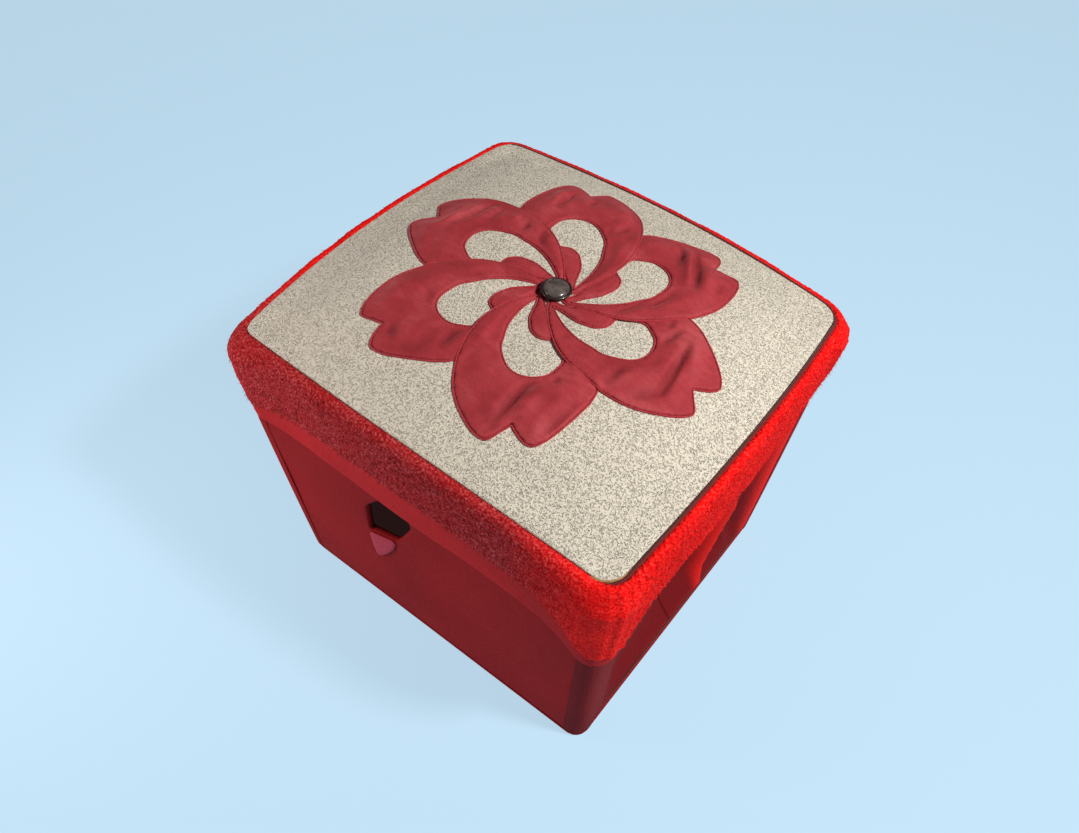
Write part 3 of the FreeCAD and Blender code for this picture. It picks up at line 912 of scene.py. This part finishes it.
def build_groove_shade_strip():
    """A dark strip in the groove between the cream panel and the plush: painted shade of the groove, lowered
    out of sight on the front and left.
    """
    points, outward, _ = outline_ring(3.0)
    top = seam_height(points) - 4.0 * (1 - groove_at(outward))
    section = ((0.35, 1.6), (1.5, 0.2), (2.6, 0.6), (3.6, 2.4), (3.4, 6.0), (0.5, 6.0))
    rows = [ring_row(points, outward, out, top - down) for out, down in section]
    ring_piece("groove_shade_strip", rows, GROOVE_SHADE, "plush_fabric")


build_groove_shade_strip()
plush_surface, plush_outward = build_plush()
build_pile(plush_surface, plush_outward)
build_hem()

# ---------------------------------------------------------------- petals

# A petal's outline as radius and angle from its cleft; the next petal lies 60 degrees on.
CLEFT_ANGLE = -65.7
LEADING_EDGE = [(7, -82), (15, -70), (24, -61.5), (34, -56), (48, -50.3), (61, -45.3), (73, -40.1),
                (84, -35.6), (98.5, -30), (111.5, -24.7), (121, -20), (130, -14.5), (136, -10.4),
                (139, -7.2), (138.5, -5.2), (131.5, -2.4), (126, 0)]
TRAILING_EDGE = [(126, 0), (130.5, 1.8), (136, 4.3), (138.5, 7), (134.5, 10.3), (127.5, 14), (116.5, 19.8),
                 (107.5, 25), (98.5, 29.2), (90, 31), (75, 29), (60, 24), (47, 18), (30, 8), (16, -14),
                 (9, -50), (7, -82)]
COMMA = [(14, -55), (22.5, -45.5), (35.4, -36.9), (49.3, -29.6), (61, -23.2), (69, -19.9), (76.8, -14.6),
         (83, -9.8), (86.3, -5), (87, 0), (85.4, 5.3), (82, 9.9), (76.1, 13.7), (70.9, 16.6), (65, 17),
         (58, 16.5), (53, 14), (50, 9), (49.8, 1.1), (47.9, -4.3), (44.2, -10.3), (37.5, -16.6),
         (32.8, -21.1), (26.4, -26.2), (19.4, -35), (14, -55)]
PETAL_STEP = 1.7
PETAL_THICK = 1.9
PETAL_ROUND = 2.4
PETAL_GAP = 0.15                                # between the cushion and the petals
PETAL_PUFF = 2.2                                # how much fuller a petal is away from its edges
PETAL_LEAST = -1.4                              # deepest that a fold may go below the flat petal
OVERLAP_LIFT = 1.5
EDGING_RADIUS = 0.62
EDGING_RISE = 0.75                              # height of the edging's middle over the cushion


def curve_through(stops, turn, step):
    """Smooth line through polar stops, turned by an angle, in even steps."""
    stops = np.array(stops, float)
    angle = np.radians(stops[:, 1] + turn)
    points = np.column_stack([stops[:, 0] * np.cos(angle), stops[:, 0] * np.sin(angle)])
    padded = np.vstack([2 * points[0] - points[1], points, 2 * points[-1] - points[-2]])
    fine = []
    for k in range(len(points) - 1):
        a, b, c, d = padded[k:k + 4]
        for t in np.arange(12) / 12:
            fine.append(0.5 * (2 * b + (c - a) * t + (2 * a - 5 * b + 4 * c - d) * t ** 2
                               + (3 * b - a - 3 * c + d) * t ** 3))
    fine.append(points[-1])
    return evenly(np.array(fine), step, 3, closed=False)[0]


def petal_turn(number):
    """Angle of a petal's cleft, in degrees."""
    return CLEFT_ANGLE + 60 * (number - 1)


def petal_loops(number, step):
    """Outer line and comma-shaped opening of one petal."""
    leading, trailing, comma = (curve_through(stops, petal_turn(number), step)[:-1] + FLOWER
                                for stops in (LEADING_EDGE, TRAILING_EDGE, COMMA))
    return np.vstack([leading, trailing]), comma


def petal_lift(plan, number):
    """How far a petal is raised where it lies on the petal before it."""
    away, inside = loop_distance(plan, petal_loops(number - 1, 3.0)[0])
    overlap = smooth_step(-4.0, 2.0, np.where(inside, away, -away))
    return OVERLAP_LIFT * overlap * smooth_step(8.0, 40.0, np.hypot(*(plan - FLOWER).T))


# Folds of each petal: ends as radius and angle from its cleft, half width and height.
FOLDS = {
    1: [((91, 2), (123, -5), 3.5, -3.2), ((111, 18), (133, 10), 5, -1.8), ((99, 7), (124, 1), 6, 2.0),
        ((85, 12), (91, 13), 3, -1.5), ((121, -10), (134, -4), 5, -1.0)],
    2: [((105, 10), (116, -10), 3.2, -3.4), ((95, 20), (88, 8), 3.0, -2.2), ((108, 17), (117, 5), 4.5, 2.2),
        ((87, -16), (92, -25), 4, -1.6), ((116, -11), (109, -21), 4.5, -1.6), ((86, 24), (87, 19), 3, -1.5),
        ((48, -36), (45, -46), 3.5, -1.0)],
    3: [((118, 8), (102, -12), 3.2, -3.4), ((111, 13), (98, 4), 3.0, -2.2), ((82, -18), (69, -28), 3.2, -2.2),
        ((58, -28), (48, -43), 3.2, -2.0), ((114, 10), (99, -7), 3.5, 2.2), ((122, 1), (108, -15), 4.5, 1.8),
        ((123, -9), (116, -15), 3, -1.2)],
    4: [((118, 6), (99, 12), 3.0, -3.2), ((115, -3), (105, -2), 2.8, -2.0), ((94, -23), (83, -21), 3.0, -2.2),
        ((119, 10), (103, 14), 3.5, 1.6), ((84, -17), (75, -17), 3.0, -1.4),
        ((114, -14), (106, -19), 4.5, 1.2)],
    5: [((109, -21), (108, 1), 3.2, -2.4), ((109, -10), (116, 6), 4.0, 1.8), ((98, -22), (93, -14), 3.0, -1.8),
        ((65, -39), (52, -34), 3.0, -2.6), ((77, -31), (71, -26), 2.8, -2.0), ((123, 9), (108, 19), 6.0, 1.5),
        ((88, -28), (83, -24), 3.0, 1.2)],
    6: [((123, 0), (122, 7), 3.5, -2.4), ((82, 16), (98, 20), 4.0, -2.6), ((126, -3), (121, 4), 4.0, 1.6),
        ((91, -16), (93, -6), 5.0, -1.0), ((126, 11), (108, 17), 5.0, -1.2),
        ((109, -22), (121, -9), 8.0, 1.2)],
}


def fold_relief(points, number):
    """Soft folds and dents of one petal's velour."""
    relief = np.zeros(len(points))
    for start, end, width, height in FOLDS[number]:
        ends = []
        for radius, angle in (start, end):
            place = math.radians(angle + petal_turn(number))
            ends.append(FLOWER + radius * np.array([math.cos(place), math.sin(place)]))
        distance, share = segment_distance(points, *ends)
        fade = 0.35 + 0.65 * np.sin(math.pi * np.clip(share, 0.02, 0.98))
        relief += height * fade * np.exp(-(distance / width) ** 2)
    return relief


def build_petal(number):
    """One petal: a closed puffed sheet over the cushion, raised where it lies on its neighbour."""
    loops = petal_loops(number, PETAL_STEP)
    spots = staggered_grid(loops[0].min(0), loops[0].max(0), PETAL_STEP)
    plan, triangles, to_edge = triangulated(loops, spots, 0.75 * PETAL_STEP)
    base = ground.heights(plan) + petal_lift(plan, number) + PETAL_GAP
    flat = np.column_stack([plan, np.zeros(len(plan))])
    relief = 1.6 * fold_relief(plan, number)
    relief += 0.8 * perlin(flat, 20.0, number) + 0.3 * perlin(flat, 8.0, number + 9)
    relief *= smooth_step(0.0, 8.0, to_edge)
    puffed = PETAL_PUFF * smooth_step(2.0, 18.0, to_edge)
    top = base + PETAL_THICK * quarter_round(to_edge, PETAL_ROUND) + np.maximum(relief + puffed, PETAL_LEAST)
    over = np.arange(len(plan))
    under = np.where(to_edge < 1e-4, over, over + len(plan))
    used, faces = np.unique(np.vstack([triangles, under[triangles[:, ::-1]]]), return_inverse=True)
    points = np.vstack([np.column_stack([plan, top]), np.column_stack([plan, base])])
    piece = make_mesh(f"petal_{number}_velour", points[used], faces.reshape(-1, 3).tolist())
    # Painted shade: how deep each top point lies in a fold, for the velour to darken; the underside gets none.
    mark(piece, "painted_fold_shade", np.concatenate([-relief / 2.6, 0 * relief])[used])
    finish_piece(piece, VELOUR, "lid", "petal_velour", f"petal_{number}")
    build_petal_edging(number, loops)


def build_petal_edging(number, loops):
    """Thread rolled round a petal's edges."""
    name = f"petal_{number}_edging"
    curve = bpy.data.curves.new(name, "CURVE")
    curve.dimensions = "3D"
    curve.bevel_depth = EDGING_RADIUS * MM
    curve.bevel_resolution = 2
    for loop in loops:
        height = ground.heights(loop) + petal_lift(loop, number) + EDGING_RISE
        spline = curve.splines.new("POLY")
        spline.points.add(len(loop) - 1)
        for point, place in zip(spline.points, np.column_stack([loop, height]) * MM):
            point.co = (*place, 1)
        spline.use_cyclic_u = True
    cord = bpy.data.objects.new(name, curve)
    mesh = bpy.data.meshes.new_from_object(cord)
    bpy.data.objects.remove(cord)
    smooth_shaded(mesh)
    piece = bpy.data.objects.new(name, mesh)
    bpy.context.scene.collection.objects.link(piece)
    finish_piece(piece, EDGE_CORD, "lid", "petal_velour")


for petal_number in range(1, 7):
    build_petal(petal_number)

# ---------------------------------------------------------------- button


def turned(name, profile, centre, segments=72):
    """A closed turned form; its profile runs from the axis out and back to the axis."""
    angles = 2 * math.pi * np.arange(segments) / segments
    circle = np.column_stack([np.cos(angles), np.sin(angles)])
    rows = [ring_row(np.tile(centre, (segments, 1)), circle, radius, height) for radius, height in profile]
    ends = [(*centre, profile[0][1]), (*centre, profile[-1][1])]
    last_row = (len(profile) - 1) * segments
    low = len(profile) * segments
    faces = grid_faces(len(profile), segments, True)
    for k in range(segments):
        after = (k + 1) % segments
        faces.append((after, k, low))
        faces.append((last_row + k, last_row + after, low + 1))
    return make_mesh(name, np.vstack([*rows, ends]), faces)


def build_button():
    """The button's dark ring and its shiny dome."""
    radius = (RIM_HIGH[0] - RIM_LOW[0]) / 2
    foot, top = RIM_LOW[2], RIM_HIGH[2]
    ring = [(2.0, foot), (radius - 1.0, foot), (radius - 0.2, foot + 0.5), (radius, foot + 1.2),
            (radius - 0.3, top - 0.2), (radius - 1.0, top), (radius - 1.7, top - 0.2),
            (radius - 2.0, top - 0.8), (2.0, top - 0.9)]
    finish_piece(turned("button_rim_ring", ring, FLOWER), RIM, "lid", "rim_plastic", "button_rim")
    dome_radius = radius - 1.9
    dome_foot = top - 0.6
    rise = node_box("button_cap")[1][2] - dome_foot
    dome = [(1.0, top - 1.4), (dome_radius, top - 1.4), (dome_radius, dome_foot)]
    for k in range(1, 11):
        angle = math.pi / 2 * k / 11
        dome.append((dome_radius * math.cos(angle), dome_foot + rise * math.sin(angle)))
    finish_piece(turned("button_dome", dome, FLOWER), CAP, "lid", "button_plastic", "button_cap")


build_button()

# ---------------------------------------------------------------- walls

BODY_RADIUS = {(1, -1): 13.0, (-1, -1): 9.0, (1, 1): 8.0, (-1, 1): 8.0}
CORNER_FLARE = {(1, -1): 5.0, (-1, -1): 14.0, (1, 1): 9.0, (-1, 1): 9.0}
FLARE_TOP = 186.0                               # height at which the corners lean out farthest
FLARE_END = 232.0                               # height above which they are upright again
WALL_CELL = 4.0
WALL_ROUND = 1.5

# Front and back face of each layer, as depths behind the wall's outer face.
SIDE_LAYERS = {"cover": (0.0, 1.2), "board": (1.5, 4.5), "lining": (4.8, 5.6)}
BACK_LAYERS = {"cover": (0.0, 1.2), "board": (1.5, 4.2), "lining": (4.4, 5.2)}
FRONT_LAYERS = {"cover": (0.0, 1.2), "board": (1.5, 4.2), "lining": (4.3, 5.1)}
LAYER_LOOKS = {"cover": (TWILL, "body_fabric"), "board": (BOARD, "fibreboard"),
               "lining": (LINING, "lining_fabric")}
BOARD_INSET = 1.5                               # how much smaller a side's or the front's board is all round


def settled(points):
    """Moves points of the box as its cloth stands: rounded upright corners that lean outward."""
    points = np.asarray(points, float).copy()
    plan = points[:, :2]
    height = points[:, 2]
    rise = np.clip(height / FLARE_TOP, 0, 1) ** 0.9 * (1 - smooth_step(FLARE_TOP + 10, FLARE_END, height))
    moved = plan.copy()
    for corner, radius in BODY_RADIUS.items():
        inner = plan * corner - (BODY_HALF - radius)
        size = np.hypot(inner[:, 0], inner[:, 1])
        factor = inner.max(1) / np.maximum(size, 1e-9)
        hit = (inner > 0).all(1)
        turned_in = (BODY_HALF - radius + inner * factor[:, None]) * corner
        moved = np.where(hit[:, None], turned_in, moved)
    for corner, flare in CORNER_FLARE.items():
        near = near_corner(plan, corner, 3, BODY_HALF)
        moved += (near * rise)[:, None] * corner * (flare, 0.9 * flare)
    points[:, :2] = moved
    return points


def wall_shell(name, start, along, out, ends, low, high, depths, relief):
    """A closed upright sheet between two depths behind a wall's outer face.

    start is a point of the outer face in plan, and along and out are directions in plan. The sheet runs
    from ends[0] to ends[1] along, and relief(run, height) is how far it stands out there.
    """
    first, last = ends
    runs = np.linspace(first, last, int((last - first) / WALL_CELL) + 1)
    heights = np.linspace(low, high, int((high - low) / WALL_CELL) + 1)
    run, height = np.meshgrid(runs, heights)
    edge = np.minimum(np.minimum(run - first, last - run), np.minimum(height - low, high - height))
    tuck = WALL_ROUND * (1 - quarter_round(edge, WALL_ROUND))
    shape = relief(run, height)
    layers = []
    for depth, inset in zip(depths, (tuck, 0)):
        offset = shape - depth - inset
        x = start[0] + along[0] * run + out[0] * offset
        y = start[1] + along[1] * run + out[1] * offset
        layers.append(np.stack([x, y, height], 2).reshape(-1, 3))
    faces = closed_grid(*run.shape)
    if along[0] * out[1] - along[1] * out[0] > 0:
        faces = reversed_faces(faces)
    return make_mesh(name, settled(np.vstack(layers)), faces)


CREASE_LOW = (47.0, 6.0)                        # ends of the slanting crease on the right side
CREASE_HIGH = (80.0, 105.0)
CREASE_RISE = 14.0
RIGHT_SINK = 20.0
LEFT_SINK = 6.0
SINK_TOP = 262.0                                # height above which a side doesn't sink


def right_relief(y, z):
    """Dents of the right side: it sinks between straight borders and rises in a slanting crease."""
    border = smooth_step(0, 34, z) * smooth_step(0, 30, SINK_TOP - z)
    border = border * smooth_step(12, 34, 141 - y) * smooth_step(16, 70, 141 + y)
    dent = -RIGHT_SINK * border * (0.6 + 0.4 * np.exp(-((y - 30) / 70) ** 2))
    crease = ridge(y, z, CREASE_LOW, CREASE_HIGH, 6.5)
    crease = np.maximum(crease, 0.5 * ridge(y, z, CREASE_HIGH, (100, 20), 6))
    return dent + CREASE_RISE * crease * border


def right_painted_light(y, z):
    """Painted light and painted shade of the right side's cloth: light on its crease, foot and back border,
    shade elsewhere.
    """
    crease = ridge(y, z, CREASE_LOW, CREASE_HIGH, 5.5)
    foot = 0.6 * ridge(y, z, (-40, 2), (120, 2), 4.0)
    border = smooth_step(118, 132, y)
    raised = np.maximum(np.maximum(crease, foot), border) * smooth_step(-120, -50, y)
    return raised, 1 - raised


def ridge(y, z, start, end, width):
    """A soft ridge along a line on a wall, 1 at its crest."""
    places = np.stack([np.ravel(y), np.ravel(z)], 1)
    away = segment_distance(places, np.array(start, float), np.array(end, float))[0]
    return np.exp(-(away.reshape(np.shape(y)) / width) ** 2)


def left_relief(y, z):
    """The left side sinks a little at its middle."""
    border = smooth_step(0, 40, z) * smooth_step(0, 40, SINK_TOP - z) * smooth_step(0, 30, 140 - np.abs(y))
    return -LEFT_SINK * border * np.exp(-(y / 70) ** 2)


def sheet_noise(seed, amount):
    """A function for the slight waves of a wall."""
    def relief(run, height):
        points = np.stack([run, height, height * 0], 2).reshape(-1, 3)
        waves = perlin(points, 70.0, seed) + 0.35 * perlin(points, 28.0, seed + 5)
        return amount * waves.reshape(run.shape)
    return relief


WRAP_REACH = 4.0                                # how far a corner's cloth lies on the flat walls
WRAP_OUT = 0.7                                  # its outer and inner faces, from the walls' outer faces
WRAP_IN = 0.5


def build_corner_wraps():
    """The cloth that goes round each upright corner of the box and is sewn to both walls."""
    for corner, radius in BODY_RADIUS.items():
        side_x, side_y = corner
        wall, body = ("back_cover", "back_wall") if side_y > 0 else ("front_cover", "base_and_front")
        low, high = node_box(wall)[0][2] + 0.3, WALL_TOP - 1.0
        run = np.linspace(-radius - WRAP_REACH, radius + WRAP_REACH, 43)
        path = np.column_stack([np.minimum(run, 0), -np.maximum(run, 0)]) + BODY_HALF
        angle = smooth_step(-radius, radius, run) * math.pi / 2
        outward = np.column_stack([np.sin(angle), np.cos(angle)]) * corner
        rows = []
        for height in np.linspace(low, high, int((high - low) / WALL_CELL) + 1):
            plan = settled(ring_row(path * corner, outward, 0, height))[:, :2]
            rows.append(ring_row(plan, outward, WRAP_OUT, height))
            rows.append(ring_row(plan, outward, -WRAP_IN, height)[::-1])
        count = 2 * len(run)
        levels = len(rows) // 2
        ends = [tuple(range(count)), tuple(reversed(range((levels - 1) * count, levels * count)))]
        faces = grid_faces(levels, count, True) + ends
        if side_x * side_y < 0:
            faces = reversed_faces(faces)
        name = ("right" if side_x > 0 else "left") + ("_back" if side_y > 0 else "_front")
        wrap = make_mesh(f"{name}_corner_cloth", np.vstack(rows), faces)
        # Painted shade: the near right corner's cloth is coloured dark all over.
        if corner == (1, -1):
            mark(wrap, "painted_shade", np.ones(len(wrap.data.vertices)))
        finish_piece(wrap, TWILL, body, "body_fabric")


build_corner_wraps()


def build_side(side, sign, shape):
    """Both halves of a folding side: each a cover, a board and a lining that share the same dents."""
    soft = sheet_noise(40 if sign > 0 else 50, 0.5)
    face = BODY_HALF[0] * sign

    def relief(y, z):
        return shape(y, z) + soft(y, z)

    for half in ("front", "back"):
        low, high = node_box(f"{side}_{half}_cover")
        for layer, depths in SIDE_LAYERS.items():
            material, slot = LAYER_LOOKS[layer]
            inset = BOARD_INSET if layer == "board" else 0.0
            ends = (low[1] + inset, high[1] - inset)
            piece = wall_shell(f"{side}_{half}_{layer}_panel", (face, 0), (0, 1), (sign, 0), ends,
                               low[2] + inset, high[2] - inset, depths, relief)
            # The right cover carries painted light on its crease, foot and back border, and painted shade
            # elsewhere.
            if layer == "cover" and side == "right":
                places = np.array([vertex.co for vertex in piece.data.vertices]) / MM
                raised, painted_shade = right_painted_light(places[:, 1], places[:, 2])
                mark(piece, "raised", raised)
                mark(piece, "painted_shade", painted_shade)
            finish_piece(piece, material, f"{side}_{half}_half", slot, f"{side}_{half}_{layer}")
            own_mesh(piece)


build_side("right", 1, right_relief)
build_side("left", -1, left_relief)


def build_back():
    """The back wall: a cover, a board and a lining."""
    low, high = node_box("back_cover")
    soft = sheet_noise(60, 0.6)
    for layer, depths in BACK_LAYERS.items():
        material, slot = LAYER_LOOKS[layer]
        piece = wall_shell(f"back_{layer}_panel", (low[0], BODY_HALF[1]), (1, 0), (0, 1),
                           (0, high[0] - low[0]), low[2], high[2], depths, soft)
        finish_piece(piece, material, "back_wall", slot, f"back_{layer}")


build_back()

# The hand hole and the tab in the front wall's plane: corners from the hole's centre.
HOLE_CENTRE = np.array([-39.0, 146.0])
HOLE_CORNERS = [(-22, 5), (-6, 26), (22, 28), (24, 14), (7, -19), (-24, -30)]
HOLE_GROWTH = 1.18                              # size of the hole in the board and lining beside the cover's
TAB_CORNERS = [(-24, -32), (6, -21), (2, -36), (-8, -52), (-18, -63), (-22, -50)]
TAB_CELL = 1.6


def rounded_polygon(corners, radius, step=1.5):
    """Closed line round a polygon with rounded corners."""
    corners = np.array(corners, float)
    line = []
    for k in range(len(corners)):
        before, here, after = corners[k - 1], corners[k], corners[(k + 1) % len(corners)]
        a = before - here
        b = after - here
        reach = min(radius, 0.45 * np.hypot(*a), 0.45 * np.hypot(*b))
        first = here + a / np.hypot(*a) * reach
        last = here + b / np.hypot(*b) * reach
        for t in np.linspace(0, 1, 7):
            line.append((1 - t) ** 2 * first + 2 * t * (1 - t) * here + t ** 2 * last)
    return evenly(np.array(line + line[:1]), step, 12)[0]


def holed_sheet(name, low, high, hole, depths, relief, step, rounding, lip=0.0):
    """The front wall's sheet with its hand hole: closed, rounded round the hole and the border.

    lip is how far the back face stands behind its own depth at the hole.
    """
    rows = int((high[1] - low[1]) / (step * math.sqrt(3) / 2))
    columns = int((high[0] - low[0]) / step)
    spots = []
    for r in range(1, rows):
        for c in range(1, columns):
            share = ((c + 0.5 * (r % 2)) / (columns + 0.5), r / rows)
            spots.append(low + (high - low) * share)
    border = rounded_polygon([low, (high[0], low[1]), high, (low[0], high[1])], 1.2, step)
    for inset in (0.4, 1.2):
        for loop, sign in ((border, -1), (hole, 1)):
            spots = np.vstack([spots, loop + outward_of(loop) * sign * inset * rounding])
    plan, triangles, to_edge = triangulated([border, hole], spots, 0.3 * rounding)
    tuck = rounding * (1 - quarter_round(to_edge, rounding))
    turned_in = lip * (1 - smooth_step(0.3, 3.0, loop_distance(plan, hole)[0]))
    shape = relief(plan[None, :, 0], plan[None, :, 1])[0]
    layers = []
    for depth, inset in zip(depths, (tuck, turned_in)):
        layers.append(np.column_stack([plan[:, 0], -BODY_HALF[1] - shape + depth + inset, plan[:, 1]]))
    return make_mesh(name, settled(np.vstack(layers)), closed_layers(triangles, len(plan)))


def build_front():
    """The front wall: a cover turned in round the hand hole, a board and a lining."""
    low, high = (corner[[0, 2]] for corner in node_box("front_cover"))
    soft = sheet_noise(70, 0.8)
    hole = rounded_polygon(np.array(HOLE_CORNERS) + HOLE_CENTRE, 4.0)
    wider = HOLE_CENTRE + (hole - HOLE_CENTRE) * HOLE_GROWTH
    sheets = {"cover": (0.0, hole, 4.0, 1.6, 4.2), "board": (BOARD_INSET, wider, 8.0, 0.3, 0.0),
              "lining": (0.0, wider, 6.0, 0.5, 0.0)}
    for layer, (inset, opening, cell, rounding, lip) in sheets.items():
        material, slot = LAYER_LOOKS[layer]
        piece = holed_sheet(f"front_{layer}_panel", low + inset, high - inset, opening, FRONT_LAYERS[layer],
                            soft, cell, rounding, lip)
        finish_piece(piece, material, "base_and_front", slot, f"front_{layer}")


build_front()


def build_tab():
    """The pull tab that hangs below the hand hole, its free end standing a little off the wall."""
    line = rounded_polygon(np.array(TAB_CORNERS) + HOLE_CENTRE, 5.0, 1.2)
    low, high = line.min(0), line.max(0)
    columns, rows = (np.arange(low[axis], high[axis], TAB_CELL) for axis in (0, 1))
    spots = np.array([(x, z) for x in columns for z in rows])
    plan, triangles, to_edge = triangulated([line], spots, 0.9)
    hang = np.clip((high[1] - plan[:, 1]) / (high[1] - low[1]), 0, 1)
    stand = -BODY_HALF[1] - 0.5 - 1.6 * hang ** 1.5
    outer = np.column_stack([plan[:, 0], stand - 0.4 - 0.8 * quarter_round(to_edge, 1.4), plan[:, 1]])
    inner = np.column_stack([plan[:, 0], stand + 0.1, plan[:, 1]])
    tab = make_mesh("pull_tab_cloth", settled(np.vstack([outer, inner])), closed_layers(triangles, len(plan)))
    finish_piece(tab, TAB, "base_and_front", "tab_fabric", "pull_tab")


build_tab()

SLAB_CELL = 6.0
SLAB_GAP = 0.1                                  # between the base's lining and the cover below it


def slab(low, high, waves, rounding):
    """Points and faces of a flat lying sheet or board with rounded edges and slight waves on top."""
    counts = ((high - low) / SLAB_CELL).astype(int) + 1
    x, y = np.meshgrid(*(np.linspace(low[axis], high[axis], counts[axis]) for axis in (0, 1)))
    edge = np.minimum(np.minimum(x - low[0], high[0] - x), np.minimum(y - low[1], high[1] - y))
    tuck = rounding * (1 - quarter_round(edge, rounding))
    flat = np.stack([x, y, x * 0], 2).reshape(-1, 3)
    relief = (waves * perlin(flat, 60.0, 80)).reshape(x.shape) * smooth_step(0, 20, edge)
    heights = (high[2] + relief - tuck, low[2] + tuck)
    layers = [np.stack([x, y, height], 2).reshape(-1, 3) for height in heights]
    return np.vstack(layers), closed_grid(*x.shape)


def build_base():
    """The base's lining and cover, and the lining under the lid's board."""
    low, high = node_box("base_lining")
    points, faces = slab(low + (0, 0, SLAB_GAP), high, 0.15, 0.35)
    lining = make_mesh("base_lining_sheet", settled(points), faces)
    finish_piece(lining, LINING, "base_and_front", "lining_fabric", "base_lining")
    low, high = node_box("base_cover")
    points, faces = slab(low, high - (0, 0, SLAB_GAP), 0.0, 1.2)
    cover = make_mesh("base_cover_panel", settled(points), faces)
    finish_piece(cover, TWILL, "base_and_front", "body_fabric", "base_cover", "base_board")
    low, high = node_box("lid_lining")
    under = make_mesh("lid_lining_sheet", *slab(low, high, 0.2, 0.35))
    finish_piece(under, LINING, "lid", "lining_fabric", "lid_lining")


build_base()

# ---------------------------------------------------------------- CAD pieces that stay


def dress(material, *names):
    """Gives CAD pieces that stay their material."""
    for name in names:
        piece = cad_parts[name]
        piece.data.materials.clear()
        piece.data.materials.append(material)


dress(BOARD, "lid_board", "lid_rail_front", "lid_rail_back", "lid_rail_left", "lid_rail_right")
dress(TUFT_CORD, "tuft_cord")
dress(STEEL, "tuft_washer")

# ---------------------------------------------------------------- floor, light and camera

FLOOR_HALF = 4000.0                             # millimetres; the lamps' and camera's places are in metres


def build_floor():
    """A wide pale floor that hardly shows its own shading."""
    corners = [(-1, -1, 0), (1, -1, 0), (1, 1, 0), (-1, 1, 0)]
    floor = make_mesh("floor", np.array(corners) * FLOOR_HALF, [(0, 1, 2, 3)])
    n = Nodes("pale_floor", 0.9)
    n.colour(n.mix(n.noise(3, 2.0), linear(96, 112, 124), linear(98, 114, 126)))
    n.set("Specular IOR Level", 0.0)
    n.glow(linear(195, 226, 246), 0.82)
    floor.data.materials.append(n.material)


def area_light(name, place, target, size, power, colour):
    """A round lamp that shines from a place towards a target."""
    data = bpy.data.lights.new(name, "AREA")
    data.shape = "DISK"
    data.size = size
    data.energy = power
    data.color = colour
    lamp = bpy.data.objects.new(name, data)
    lamp.location = place
    direction = Vector(target) - Vector(place)
    lamp.rotation_euler = direction.to_track_quat("-Z", "Y").to_euler()
    bpy.context.scene.collection.objects.link(lamp)


def build_light():
    """A dim even sky, a key lamp high on the right and a weak warm one at the front left."""
    world = bpy.data.worlds.new("studio")
    bpy.context.scene.world = world
    world.use_nodes = True
    background = world.node_tree.nodes["Background"]
    background.inputs["Color"].default_value = (0.93, 0.96, 1.0, 1)
    background.inputs["Strength"].default_value = 0.1
    area_light("key", (0.86, 0.1, 1.3), (0, 0, 0.25), 0.2, 20, (1.0, 0.985, 0.95))
    area_light("fill", (-0.42, -0.46, 0.3), (-0.14, -0.15, 0.15), 0.3, 1.5, (1.0, 0.86, 0.82))


def build_camera():
    """Looks at the near corner from above, as a person standing beside the stool does."""
    data = bpy.data.cameras.new("camera")
    data.lens = 29.355
    data.sensor_width = 36.0
    data.sensor_fit = "HORIZONTAL"
    data.shift_x = -0.00973
    data.shift_y = 0.05885
    data.clip_start = 0.01
    camera = bpy.data.objects.new("camera", data)
    camera.location = (0.27817, -0.39871, 0.73541)
    camera.rotation_euler = Euler((math.radians(36.877), math.radians(-2.854), math.radians(37.558)))
    bpy.context.scene.collection.objects.link(camera)
    bpy.context.scene.camera = camera
    bpy.context.scene.view_settings.view_transform = "Standard"


build_floor()
build_light()
build_camera()
